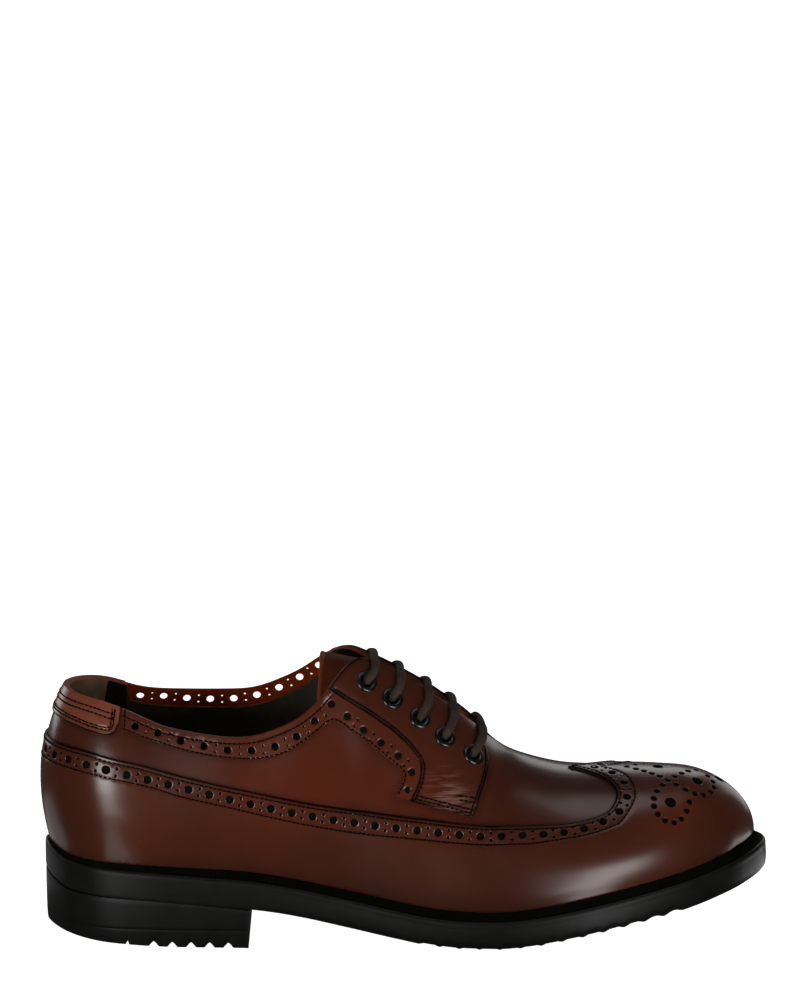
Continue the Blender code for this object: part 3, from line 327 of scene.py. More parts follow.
# Glowing cards that lie on the floor and face up: name, place, width, height, power, turn in degrees
FLOOR_CARDS = (
    ("left_card", (-0.254, -0.350, 0.004), 0.07, 0.36, 0.36, 24.0),
    ("left_strip", (-0.155, -0.103, 0.003), 0.028, 0.09, 0.011, 24.0),
    ("right_card", (0.201, -0.335, 0.004), 0.07, 0.38, 0.60, -22.0),
    ("right_floor", (0.441, -0.929, 0.004), 0.28, 0.90, 3.0, -22.0),
    ("right_strip", (0.115, -0.122, 0.003), 0.03, 0.10, 0.040, -22.0),
    ("heel_strip", (-0.229, 0.064, 0.003), 0.08, 0.12, 0.012, 130.0),
    ("toe_strip", (0.235, 0.045, 0.003), 0.08, 0.12, 0.060, -120.0),
)
WORLD_STRENGTH = 0.06

# Floor in metres: half width, front, where it sweeps up at the back, radius of the sweep, top of the wall
FLOOR_HALF, FLOOR_FRONT, FLOOR_BACK, SWEEP_RADIUS, SWEEP_STEPS, WALL_TOP = 5.0, -5.0, 4.0, 1.5, 12, 6.0
FLOOR_DARK, FLOOR_PALE = (0.86, 0.86, 0.86), (0.9, 0.9, 0.9)
WHITE = (1.0, 1.0, 1.0, 1.0)


class Track:
    """Smooth curves through a table's columns against its first, by default never swinging past its rows."""

    def __init__(self, rows, slopes=None):
        rows = np.array(rows, float)
        self.x, self.y = rows[:, 0], rows[:, 1:]
        self.slopes = self.monotone() if slopes is None else slopes

    def monotone(self):
        """Slopes at the rows that keep each curve between its neighbours."""
        steps = np.diff(self.y, axis=0) / np.diff(self.x)[:, None]
        before, after = steps[:-1], steps[1:]
        same = before * after > 0.0
        total = np.where(same, before + after, 1.0)
        inner = np.where(same, 2.0 * before * after / total, 0.0)
        return np.vstack([steps[:1], inner, steps[-1:]])

    def __call__(self, x):
        x = np.clip(np.atleast_1d(np.asarray(x, float)), self.x[0], self.x[-1])
        i = np.clip(np.searchsorted(self.x, x) - 1, 0, len(self.x) - 2)
        step = (self.x[i + 1] - self.x[i])[:, None]
        k = (x - self.x[i])[:, None] / step
        level = (1.0 - k) ** 2 * (1.0 + 2.0 * k) * self.y[i] + k * k * (3.0 - 2.0 * k) * self.y[i + 1]
        return level + step * (k * (1.0 - k) ** 2 * self.slopes[i] - k * k * (1.0 - k) * self.slopes[i + 1])


def unit(vectors):
    """Vectors at a length of one."""
    return vectors / np.maximum(np.linalg.norm(vectors, axis=-1, keepdims=True), TINY)


def lengths_along(points):
    """Distance of each point from the first one, along the line."""
    return np.concatenate([[0.0], np.cumsum(np.linalg.norm(np.diff(points, axis=0), axis=1))])


def soft_track(knots, rows, before, after):
    """Smooth curves through rows at knots; before and after are a knot and a row beyond the two ends."""
    marks = np.concatenate([[before[0]], knots, [after[0]]])
    around = np.vstack([before[1], rows, after[1]])
    slopes = (around[2:] - around[:-2]) / (marks[2:] - marks[:-2])[:, None]
    return Track(np.column_stack([knots, rows]), slopes)


def outline_points(index, sign):
    """Plan points of one side of the sole's edge, from heel to toe."""
    inner = [(row[0], sign * row[index]) for row in OUTLINE]
    return np.array([(0.0, 0.0)] + inner + [(SOLE_LENGTH, TOE_TIP_Y)])


LATERAL_PLAN, MEDIAL_PLAN = outline_points(1, -1.0), outline_points(2, 1.0)
PLAN_STEPS = [np.hypot(*np.diff(plan, axis=0).T) for plan in (LATERAL_PLAN, MEDIAL_PLAN)]
KNOTS = np.concatenate([[0.0], np.cumsum(sum(PLAN_STEPS) / 2.0)])
S_TOE = KNOTS[-1]


def outline_track(points, other):
    """One side's edge, which runs on into the other side's at heel and toe."""
    return soft_track(KNOTS, points, (-KNOTS[1], other[1]), (2.0 * S_TOE - KNOTS[-2], other[-2]))


LATERAL_EDGE = outline_track(LATERAL_PLAN, MEDIAL_PLAN)
MEDIAL_EDGE = outline_track(MEDIAL_PLAN, LATERAL_PLAN)
STATIONS = (LATERAL_EDGE(KNOTS)[:, 0] + MEDIAL_EDGE(KNOTS)[:, 0]) / 2.0
SOLE_TRACK, RIDGE_TRACK, SECTION_TRACK = Track(SOLE), Track(RIDGE), Track(SECTIONS)
BLEND_STEPS = np.linspace(-1.0, 1.0, SECTION_STEPS)[1:-1]
BLEND_WEIGHTS = (1.0 - abs(BLEND_STEPS)) / (1.0 - abs(BLEND_STEPS)).sum()


def wrapped(q):
    """Distances q brought back on to one round of the sole."""
    return (np.atleast_1d(np.asarray(q, float)) + S_TOE) % (2.0 * S_TOE) - S_TOE


def sole_edge(q):
    """Plan points of the sole's edge."""
    q = wrapped(q)
    return np.where((q > 0.0)[:, None], MEDIAL_EDGE(abs(q)), LATERAL_EDGE(abs(q)))


def inward(q):
    """Unit plan directions from the sole's edge to its inside."""
    along = unit(sole_edge(q + 0.5) - sole_edge(q - 0.5))
    return np.column_stack([along[:, 1], -along[:, 0]])


def core(s):
    """Plan points under the ridge that the sections turn about."""
    s = np.minimum(s, TOE_POLE_S)
    u = (LATERAL_EDGE(s)[:, 0] + MEDIAL_EDGE(s)[:, 0]) / 2.0
    heel = (HEEL_PIVOT_FROM - u) / HEEL_PIVOT_REACH
    toe = (u - TOE_PIVOT_FROM) / TOE_PIVOT_REACH
    soft_heel = HEEL_PIVOT_FROM - HEEL_PIVOT_REACH * (1.0 - np.exp(-np.maximum(heel, 0.0)))
    soft_toe = TOE_PIVOT_FROM + TOE_PIVOT_REACH * (1.0 - np.exp(-np.maximum(toe, 0.0)))
    u = np.where(heel > 0.0, soft_heel, np.where(toe > 0.0, soft_toe, u))
    return np.column_stack([u, RIDGE_TRACK(u)[:, 0]])


def sole_sizes(u):
    """Height of the edge's underside, height of the middle's and width of the welt."""
    return SOLE_TRACK(u).T


def section(q):
    """Core, outward direction, reach of the feather, its height and the section's sizes."""
    q = wrapped(q)
    middle, edge = core(abs(q)), sole_edge(q)
    edge_z, _, welt = sole_sizes(edge[:, 0])
    feather = edge + inward(q) * welt[:, None]
    reach = np.linalg.norm(feather - middle, axis=1)
    sizes = 0.0
    for step, weight in zip(BLEND_STEPS, BLEND_WEIGHTS):
        sizes = sizes + weight * SECTION_TRACK(feather[:, 0] + SECTION_SOFT * step)
    sizes[:, 1] += np.where(q > 0.0, sizes[:, 2], 0.0)
    return middle, (feather - middle) / reach[:, None], reach, edge_z + FEATHER_RISE, sizes


def last(q, v):
    """Points of the upper's outer face."""
    middle, outward, reach, low_z, sizes = section(q)
    top_out, top_z, _, low_out, low_up, high_out, high_up = sizes.T
    a, b, c = 3.0 * v * (1.0 - v) ** 2, 3.0 * v * v * (1.0 - v), v ** 3
    out = (1.0 - v) ** 3 * reach + a * (reach + low_out) + b * (top_out + high_out) + c * top_out
    z = low_z + (top_z - low_z) * (a * low_up + b * high_up + c)
    return np.column_stack([middle + outward * out[:, None], z])


def side_normal(q, v):
    """Unit directions out of one side of the leather."""
    low = np.minimum(v, NORMAL_TOP)
    along = last(q + NORMAL_STEP_Q, low) - last(q - NORMAL_STEP_Q, low)
    upward = last(q, np.minimum(v + NORMAL_STEP_V, 1.0)) - last(q, np.maximum(v - NORMAL_STEP_V, 0.0))
    return unit(np.cross(upward, along))


def last_normal(q, v):
    """Unit directions out of the leather; on the ridge, the mean of the two sides."""
    q, v = np.broadcast_arrays(np.atleast_1d(np.asarray(q, float)), np.asarray(v, float))
    q = np.where(v == 1.0, np.clip(q, -TOE_POLE_S, TOE_POLE_S), q)
    out = side_normal(q, v)
    joined = (v == 1.0) & (np.linalg.norm(last(q, v) - last(-q, v), axis=1) < RIDGE_JOINED)
    return unit(np.where(joined[:, None], out + side_normal(-q, v), out))


def flat_place(q, v):
    """The same places on a flat pattern: the upper rolled out from its ridge."""
    middle, outward, _, _, sizes = section(q)
    return middle + outward * (sizes[:, 0] + (1.0 - v) * FLAT_SPAN)[:, None]


def grid_quads(columns, rows, loop=False):
    """Corners of the quads of a grid whose points run row by row in each column, or round it in a loop."""
    steps = np.arange(columns - 1), np.arange(rows if loop else rows - 1)
    i, j = (axis.ravel() for axis in np.meshgrid(*steps, indexing="ij"))
    here, after = i * rows + j, i * rows + (j + 1) % rows
    return np.column_stack([here, here + rows, after + rows, after])


def capped(rings):
    """Points and faces of a closed form through rings that turn clockwise for someone who faces its end."""
    points, count = np.vstack(rings), len(rings[0])
    start, end = range(count), range(len(points) - 1, len(points) - count - 1, -1)
    return points, grid_quads(len(rings), count, True).tolist() + [tuple(start), tuple(end)]


class Last:
    """The last's outer face as a dense mesh that is reached from the flat pattern or from above."""

    def __init__(self):
        columns, rows = 2 * LAST_COLUMNS + 1, LAST_ROWS + 1
        grid = np.meshgrid(np.linspace(-S_TOE, S_TOE, columns), np.linspace(0.0, 1.0, rows), indexing="ij")
        q, v = (axis.ravel() for axis in grid)
        self.flat, self.points, self.normals = flat_place(q, v), last(q, v), last_normal(q, v)
        quads = grid_quads(columns, rows)
        self.faces = np.vstack([quads[:, (0, 1, 2)], quads[:, (0, 2, 3)]])
        corners = np.column_stack([self.flat, np.zeros(len(q))])
        self.flat_tree = BVHTree.FromPolygons(corners.tolist(), self.faces.tolist())
        self.tree = BVHTree.FromPolygons(self.points.tolist(), self.faces.tolist())

    def at(self, places):
        """Points and normals of the last at places of the flat pattern."""
        hits = [self.flat_tree.find_nearest((x, y, 0.0)) for x, y in places]
        found = np.array([hit[0][:2] for hit in hits])
        corners = self.faces[[hit[2] for hit in hits]]
        weights = shares_in(found, self.flat[corners])
        points = np.einsum("nk,nkd->nd", weights, self.points[corners])
        normals = np.einsum("nk,nkd->nd", weights, self.normals[corners])
        return points, unit(normals)

    def under(self, plan):
        """Places of the flat pattern under points given in plan."""
        hits = [self.tree.ray_cast((x, y, ABOVE_LAST), (0.0, 0.0, -1.0)) for x, y in plan]
        corners = self.faces[[hit[2] for hit in hits]]
        weights = shares_in(np.array([hit[0][:2] for hit in hits]), self.points[corners][:, :, :2])
        return np.einsum("nk,nkd->nd", weights, self.flat[corners])

    def steps(self, places):
        """For each place, the two steps on the pattern that make square millimetre steps on the last."""
        reach = 0.4
        across = [self.at(places + offset)[0] - self.at(places - offset)[0]
                  for offset in (np.array((reach, 0.0)), np.array((0.0, reach)))]
        x_step, y_step = (step / (2.0 * reach) for step in across)
        x_length = np.linalg.norm(x_step, axis=1)
        lean = np.sum(x_step * y_step, axis=1) / x_length
        y_length = np.sqrt(np.maximum(np.sum(y_step * y_step, axis=1) - lean ** 2, 1e-6))
        first = np.column_stack([1.0 / x_length, np.zeros(len(places))])
        second = np.column_stack([-lean / (x_length * y_length), 1.0 / y_length])
        return first, second

    def aside(self, places, along):
        """Steps on the pattern that are a millimetre to the left of a run on the last."""
        first, second = self.steps(places)
        across = along[:, 1] / second[:, 1]
        ahead = (along[:, 0] - across * second[:, 0]) / first[:, 0]
        length = np.maximum(np.hypot(ahead, across), TINY)[:, None]
        return (ahead[:, None] * second - across[:, None] * first) / length

    def beside(self, path, distance):
        """A path of the pattern moved to the left of its run."""
        return path + self.aside(path, np.gradient(path, axis=0)) * distance


def shares_in(points, corners):
    """Shares of a triangle's three corners that make up a point."""
    a, b, c = corners[:, 0], corners[:, 1], corners[:, 2]

    def twice_area(p, q, r):
        return (q[:, 0] - p[:, 0]) * (r[:, 1] - p[:, 1]) - (q[:, 1] - p[:, 1]) * (r[:, 0] - p[:, 0])

    whole = twice_area(a, b, c)
    whole = np.where(abs(whole) < TINY, TINY, whole)
    first, second = twice_area(points, b, c) / whole, twice_area(a, points, c) / whole
    return np.column_stack([first, second, 1.0 - first - second])


def share_at_height(s, z):
    """Shares v of the lateral sections whose points are at heights z."""
    s, z = np.asarray(s, float), np.asarray(z, float)
    low, high = np.zeros(len(s)), np.ones(len(s))
    for _ in range(24):
        middle = (low + high) / 2.0
        below = last(-s, middle)[:, 2] < z
        low, high = np.where(below, middle, low), np.where(below, high, middle)
    return low


def finer(rows):
    """Rows of (s, z) at close steps on a soft curve through the table's rows."""
    length = lengths_along(np.array(rows))
    places = np.append(np.arange(0.0, length[-1], ROW_STEP), length[-1])
    return Track(np.column_stack([length, rows]))(places)


def by_height(rows):
    """Rows of (s, z) as rows of (s, v)."""
    rows = np.array(rows)
    return np.column_stack([rows[:, 0], share_at_height(rows[:, 0], rows[:, 1])])


def smooth_line(rows):
    """A soft curve through rows of (s, v), at close steps."""
    rows = np.array(rows, float)
    gaps = np.linalg.norm(np.diff(rows * (1.0, FLAT_SPAN), axis=0), axis=1)
    knots = np.concatenate([[0.0], np.cumsum(np.sqrt(gaps))])
    before = knots[0] - knots[1], 2.0 * rows[0] - rows[1]
    after = 2.0 * knots[-1] - knots[-2], 2.0 * rows[-1] - rows[-2]
    count = int(gaps.sum() / LINE_STEP) + 2
    return soft_track(knots, rows, before, after)(np.linspace(0.0, knots[-1], count))


def on_side(line, side):
    """Pattern places of a line of (s, v) rows on one side."""
    return flat_place(side * line[:, 0], line[:, 1])


def round_shoe(lines):
    """A closed line of places: along the lateral side's rows and back along the medial side's."""
    return np.vstack([on_side(lines[LATERAL], LATERAL), on_side(lines[MEDIAL], MEDIAL)[:0:-1]])


def top_line(first, end, step=LINE_STEP):
    """The upper's top edge between two distances s."""
    s = np.linspace(first, end, max(2, int(abs(end - first) / step)))
    return np.column_stack([s, np.ones(len(s))])


def closed(loop):
    """A loop's points, with the first one again at the end."""
    return np.vstack([loop, loop[:1]])


def spaced(shape, path, pitch, lead=0.0, whole=True):
    """Places along a path at equal steps on the last, or midway between them, with the path's directions."""
    run = lengths_along(shape.at(path)[0])
    count = max(1, int(round((run[-1] - 2.0 * lead) / pitch)))
    marks = np.linspace(lead, run[-1] - lead, count + 1)
    if not whole:
        marks = (marks[1:] + marks[:-1]) / 2.0
    reach = 0.3
    behind, places, ahead = (np.column_stack([np.interp(marks + offset, run, axis) for axis in path.T])
                             for offset in (-reach, 0.0, reach))
    return places, ahead - behind


def beside(path, distance):
    """A path moved sideways on the pattern, to the left of its run if distance is positive."""
    along = unit(np.gradient(path, axis=0))
    return path + np.column_stack([-along[:, 1], along[:, 0]]) * distance


def hole_loops(shape, places, radius, segments=HOLE_SEGMENTS):
    """A round loop on the pattern for each hole."""
    places = np.atleast_2d(places)
    first, second = shape.steps(places)
    turn = np.linspace(0.0, math.tau, segments, endpoint=False)
    loops = []
    for place, a, b in zip(places, first, second):
        loops.append(place + radius * (np.cos(turn)[:, None] * a + np.sin(turn)[:, None] * b))
    return loops


def brogue_row(shape, path, pitch, radius, pin, lead=0.0, ring=False):
    """Loops of a row of holes with a pair of pinholes between each two; a ring's last hole is its first."""
    places = spaced(shape, path, pitch, lead)[0][1 if ring else 0:]
    loops = hole_loops(shape, places, radius)
    between, along = spaced(shape, path, pitch, lead, whole=False)
    aside = shape.aside(between, along) * PIN_SPREAD
    for pins in (between + aside, between - aside):
        loops += hole_loops(shape, pins, pin, PIN_SEGMENTS)
    return loops


def inside(points, loops):
    """Which points lie inside an odd number of the loops."""
    hit = np.zeros(len(points), bool)
    x, y = points[:, 0], points[:, 1]
    for loop in loops:
        near = (y >= loop[:, 1].min()) & (y <= loop[:, 1].max()) & (x <= loop[:, 0].max())
        px, py = x[near], y[near]
        odd = np.zeros(len(px), bool)
        for (x0, y0), (x1, y1) in zip(loop, np.roll(loop, -1, axis=0)):
            crosses = (y0 > py) != (y1 > py)
            if crosses.any():
                odd ^= crosses & (px < x0 + (py - y0) * (x1 - x0) / (y1 - y0))
        hit[near] ^= odd
    return hit


def counter_clockwise(loop):
    """The loop itself if it runs counter-clockwise, or else the loop turned round."""
    x, y = loop[:, 0], loop[:, 1]
    area = np.sum(x * np.roll(y, -1) - np.roll(x, -1) * y)
    return loop if area > 0.0 else loop[::-1]


def distance_to(points, lines):
    """Distance of each point to the nearest point of the lines."""
    marks = np.vstack(lines)
    tree = KDTree(len(marks))
    for i, (x, y) in enumerate(marks):
        tree.insert((x, y, 0.0), i)
    tree.balance()
    return np.array([tree.find((x, y, 0.0))[2] for x, y in points])


def lattice(loop, step):
    """Points of a triangular lattice over a loop's box."""
    low, high = loop.min(axis=0), loop.max(axis=0)
    rows = np.arange(low[1], high[1], step * math.sqrt(0.75))
    columns = np.arange(low[0], high[0], step)
    x, y = np.meshgrid(columns, rows)
    x = x + (np.arange(len(rows)) % 2)[:, None] * step / 2.0
    return np.column_stack([x.ravel(), y.ravel()])


class Panel:
    """A piece of leather cut to loops on the pattern: the first is its outline, the others are cut out of it.

    The first few loops have soft edges and the others are punched holes. Seams are paths sunk into its face,
    with their middles marked for painted shade.
    """

    def __init__(self, shape, loops, top, soft=1, seams=(), rim=None, foot=OVERLAY_FOOT):
        self.top = top
        self.loops = [counter_clockwise(loops[0])] + [counter_clockwise(loop)[::-1] for loop in loops[1:]]
        holes = len(loops) - soft
        drops = [EDGE_ROUND] * soft + [HOLE_ROUND] * holes
        widths = [EDGE_WIDTH] * soft + [HOLE_WIDTH] * holes
        rings = [self.clear(beside(np.vstack([loop[-1:], loop, loop[:1]]), width * times)[1:-1])
                 for times in (1.0, 2.0) for loop, width in zip(self.loops, widths)]
        centres = [self.clear(path) for path in seams]
        flanks = [self.clear(beside(path, offset)) for path in seams for offset in (-SEAM_HALF, SEAM_HALF)]
        fill = lattice(self.loops[0], PANEL_STEP)
        fill = fill[inside(fill, self.loops)]
        fill = fill[distance_to(fill, self.loops + rings + centres + flanks) > PANEL_STEP / 2.0]
        groups = self.loops + centres + rings + flanks + [fill]
        counts = [len(group) for group in groups]
        level_groups = [0.0] * (len(rings) + len(flanks) + 1)
        heights = top - np.repeat(drops + [SEAM_DEPTH] * len(centres) + level_groups, counts)
        # Seam middles are marked 1, where the leather darkens as painted shade in the groove.
        seam = np.repeat([0.0] * len(loops) + [1.0] * len(centres) + level_groups, counts)
        self.triangulate(np.vstack(groups))
        points, normals = shape.at(self.places)
        count = len(points)
        self.points = np.vstack([points + normals * heights[self.sources][:, None], points + normals * foot])
        walls = [(a, a + count, b + count, b) for a, b in self.walls]
        self.polygons = self.faces.tolist() + (self.faces[:, ::-1] + count).tolist() + walls
        near_rim = np.zeros(count) if rim is None else distance_to(self.places, [rim]) < RIM_NEAR
        wall_slots = [RIM if near_rim[a] and near_rim[b] else CUT for a, b in self.walls]
        self.slots = [FACE] * len(self.faces) + [BACK] * len(self.faces) + wall_slots
        self.edge = np.tile(distance_to(self.places, self.loops[:soft]), 2)
        self.seam = np.tile(seam[self.sources], 2)
        self.flat = np.tile(self.places, (2, 1))

    def clear(self, path):
        """The points of a path that lie on the leather, clear of its edges."""
        path = path[inside(path, self.loops)]
        return path[distance_to(path, self.loops) > EDGE_CLEAR]

    def triangulate(self, places):
        """Triangles between the places, and the pairs of neighbours along the loops."""
        links, start = [], 0
        for loop in self.loops:
            ids = np.arange(start, start + len(loop))
            links.append(np.column_stack([ids, np.roll(ids, -1)]))
            start += len(loop)
        links = np.vstack(links)
        found = delaunay_2d_cdt([Vector(place) for place in places], links.tolist(), [], 0, 1e-6)
        self.places = np.array([tuple(place) for place in found[0]])
        faces = np.array(found[2])
        self.faces = faces[inside(self.places[faces].mean(axis=1), self.loops)]
        self.sources = np.array([source[0] if source else len(places) - 1 for source in found[3]])
        index = {source: i for i, source in enumerate(self.sources)}
        self.walls = [(index[a], index[b]) for a, b in links if a in index and b in index]


def add_piece(name, points, faces, materials, replaces=(), slot="leather", sharp=50.0, slots=None, **marks):
    """A finished piece from points in millimetres, riding on the shoe; marks are numbers for its points."""
    mesh = bpy.data.meshes.new(name)
    mesh.from_pydata(((np.asarray(points) - MIDDLE) * MM).tolist(), [], [tuple(face) for face in faces])
    for material in materials:
        mesh.materials.append(material)
    if slots is not None:
        mesh.polygons.foreach_set("material_index", np.asarray(slots, np.int32))
    for key, values in marks.items():
        mesh.attributes.new(key, "FLOAT", "POINT").data.foreach_set("value", np.asarray(values, np.float32))
    mesh.shade_smooth()
    mesh.set_sharp_from_angle(angle=math.radians(sharp))
    piece = bpy.data.objects.new(name, mesh)
    bpy.context.scene.collection.objects.link(piece)
    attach(piece, "root")
    if replaces:
        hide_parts(*replaces)


def tone(places):
    """How warm and light the leather is at places of the pattern, from 0 to 1: partly the burnish, partly
    painted light.
    """
    total = np.full(len(places), TONE_BASE)
    for x, y, radius, strength in TONES_AND_PAINTED_LIGHT:
        away = np.hypot(places[:, 0] - x, places[:, 1] - y) / radius
        total += strength * np.exp(-away ** 2)
    return np.clip(total, 0.0, 1.0)


class Shader:
    """A material and short calls that add its nodes."""

    def __init__(self, name):
        self.material = bpy.data.materials.new(name)
        self.material.use_nodes = True
        self.nodes, self.links = self.material.node_tree.nodes, self.material.node_tree.links
        self.surface = self.nodes["Principled BSDF"]

    def set(self, **values):
        for key, value in values.items():
            self.surface.inputs[key.replace("_", " ")].default_value = value

    def link(self, output, key):
        self.links.new(output, self.surface.inputs[key])

    def node(self, kind, **inputs):
        """A new node whose inputs are set to values or linked to the outputs of other nodes."""
        node = self.nodes.new("ShaderNode" + kind)
        for key, value in inputs.items():
            socket = node.inputs[key.replace("_", " ")]
            if isinstance(value, bpy.types.NodeSocket):
                self.links.new(value, socket)
            else:
                socket.default_value = value
        return node

    def attribute(self, name):
        node = self.node("Attribute")
        node.attribute_name = name
        return node.outputs["Fac"]

    def noise(self, scale, detail=3.0, roughness=0.55, stretch=(1.0, 1.0, 1.0)):
        place = self.node("TexCoord").outputs["Object"]
        place = self.node("Mapping", Vector=place, Scale=stretch).outputs["Vector"]
        node = self.node("TexNoise", Vector=place, Scale=scale, Detail=detail, Roughness=roughness)
        return node.outputs["Fac"]

    def ramp(self, value, stops):
        node = self.node("ValToRGB", Fac=value)
        elements = node.color_ramp.elements
        while len(elements) < len(stops):
            elements.new(0.5)
        for element, (position, colour) in zip(elements, stops):
            element.position = position
            element.color = (*colour, 1.0)
        return node.outputs["Color"]

    def level(self, value, low, high, start=0.0, end=1.0):
        """A value's range from start to end, mapped to the range from low to high."""
        node = self.node("MapRange", Value=value, From_Min=start, From_Max=end, To_Min=low, To_Max=high)
        return node.outputs["Result"]

    def maths(self, operation, first, second):
        node = self.node("Math")
        node.operation = operation
        self.links.new(first, node.inputs[0])
        self.links.new(second, node.inputs[1])
        return node.outputs["Value"]

    def toward(self, colour, share, other):
        """A colour that goes over to a plain one by a share."""
        node = self.node("Mix")
        node.data_type = "RGBA"
        factor, first, second = (socket for socket in node.inputs if socket.enabled)
        self.links.new(share, factor)
        self.links.new(colour, first)
        second.default_value = (*other, 1.0)
        return next(socket for socket in node.outputs if socket.enabled)

    def bump(self, *layers):
        """Bump from layers of height, strength and distance in metres."""
        previous = {}
        for height, strength, distance in layers:
            node = self.node("Bump", Height=height, Strength=strength, Distance=distance, **previous)
            previous = {"Normal": node.outputs["Normal"]}
        self.link(previous["Normal"], "Normal")


def leather(name, dark, middle, warm):
    """Burnished calf: three colours by a tone that is partly painted light, darker at cut edges and, as
    painted shade, in sunk seams and beside the overlays, brushed strokes as a painted highlight, with fine
    grain and a waxed coat.
    """
    shader = Shader(name)
    edge = shader.attribute("edge")
    mottle = shader.level(shader.noise(28.0, 4.0, 0.6), -0.3, 0.3)
    fine = shader.level(shader.noise(160.0, 3.0, 0.6), -0.1, 0.1)
    # The tone is partly the burnish's own warmth and partly painted light, lighter at heel and toe, darker
    # along the sides.
    level = shader.maths("ADD", shader.maths("ADD", shader.attribute("tone"), mottle), fine)
    colour = shader.ramp(level, ((0.0, dark), (0.45, middle), (1.0, warm)))
    # Cut edges of the pieces are burnt dark; on the vamp and quarters the same darkening beside the overlays
    # is painted shade.
    colour = shader.toward(colour, shader.level(edge, 0.4, 0.0, 0.0, 3.0), BURNT_EDGE_AND_SHADE)
    colour = shader.toward(colour, shader.level(edge, 1.0, 0.0, 0.4, 0.95), BURNT_EDGE_AND_SHADE)
    # Painted shade: the leather darkens along the middle of each sunk seam.
    colour = shader.toward(colour, shader.level(shader.attribute("seam"), 0.0, 0.85), BURNT_EDGE_AND_SHADE)
    # Brushed strokes near the facing's foot, lighter in colour as a painted highlight.
    strokes = shader.noise(1100.0, 2.0, 0.5, stretch=(0.1, 0.1, 1.0))
    strokes = shader.level(strokes, 0.0, 0.8, 0.42, 0.72)
    colour = shader.toward(colour, shader.maths("MULTIPLY", strokes, shader.attribute("brush")), BRUSHED_HIGHLIGHT)
    shader.link(colour, "Base Color")
    shader.link(shader.level(shader.noise(60.0, 4.0, 0.65), 0.2, 0.3), "Roughness")
    shader.link(shader.level(edge, 0.05, 0.38, 0.5, 1.3), "Specular IOR Level")
    shader.link(shader.level(edge, 0.0, 0.1, 0.5, 1.3), "Coat Weight")
    shader.set(Coat_Roughness=0.15)
    creases, grain = shader.noise(45.0, 2.0, 0.5), shader.noise(1500.0, 3.0, 0.6)
    shader.bump((creases, 0.12, 0.0010), (grain, 0.12, 0.00025))
    return shader.material


def plain(name, colour, roughness, grain, depth, gloss, metal):
    """A single-colour finish with slight mottling and a fine grain."""
    shader = Shader(name)
    low, high = (tuple(channel * (1.0 + spread) for channel in colour) for spread in (-MOTTLE, MOTTLE))
    shader.link(shader.ramp(shader.noise(grain / 6.0), ((0.3, low), (0.7, high))), "Base Color")
    limits = roughness - ROUGHNESS_SPREAD, roughness + ROUGHNESS_SPREAD
    shader.link(shader.level(shader.noise(grain / 3.0), *limits), "Roughness")
    shader.set(Metallic=metal, Specular_IOR_Level=gloss)
    shader.bump((shader.noise(grain), GRAIN_STRENGTH, depth))
    return shader.material


def make_materials():
    """All the finishes by name."""
    finish = {key: leather("leather_" + key, *colours) for key, colours in LEATHERS.items()}
    finish.update({key: plain(key, *values) for key, values in FINISHES.items()})
    return finish


def pattern():
    """The lines of the upper's pattern, as rows of (s, v)."""
    lines = {
        "collar_low": smooth_line(by_height(COLLAR_LOW)),
        "collar_holes": {side: smooth_line(by_height(COLLAR_HOLES[side])) for side in SIDES},
        "strip_rear": smooth_line(by_height(STRIP_REAR)),
        "strip_holes": smooth_line(by_height(STRIP_HOLES)),
        "facing_rear": smooth_line(by_height(finer(FACING_REAR))),
        "facing_front": smooth_line(by_height(FACING_FRONT[::-1])),
        "facing_foot": by_height([FACING_FOOT]),
        "tab": smooth_line(by_height(TAB_EDGE)),
    }
    tables = ("wing", WING_SIDE, WING_TOE), ("band", BAND_SIDE, BAND_TOE), ("holes", HOLE_SIDE, HOLE_TOE)
    for key, low, toe in tables:
        rows = by_height(finer(low))
        lines[key] = {side: smooth_line(np.vstack([rows, toe[side]])) for side in SIDES}
    return lines


def medallion_holes(shape):
    """Loops of the toe's medallion, mirrored over its middle line."""
    def both(rows):
        rows = np.array(rows)
        middle = np.interp(rows[:, 0], *np.transpose(MEDALLION_LINE))
        other = np.column_stack([rows[:, 0], 2.0 * middle - rows[:, 1]])
        return np.vstack([rows, other])

    small = np.vstack([both(MEDALLION_SMALL), MEDALLION_MIDDLE_SMALL])
    large = np.vstack([both(MEDALLION_LARGE), MEDALLION_MIDDLE_LARGE])
    loops = hole_loops(shape, shape.under(small), SMALL_HOLE, SMALL_SEGMENTS)
    return loops + hole_loops(shape, shape.under(large), LARGE_HOLE)


def add_overlay(shape, panel, name, keys, node, rows, stitches, finish, **marks):
    """A cut piece of leather over the upper, with its rows of stitches."""
    marks = {"tone": tone(panel.flat), "edge": panel.edge, "seam": panel.seam, **marks}
    materials = [finish[key] for key in keys]
    add_piece(name, panel.points, panel.polygons, materials, [node], slots=panel.slots, **marks)
    build_stitches(shape, stitches, rows, panel.top - SEAM_DEPTH + STITCH_PROUD, finish)


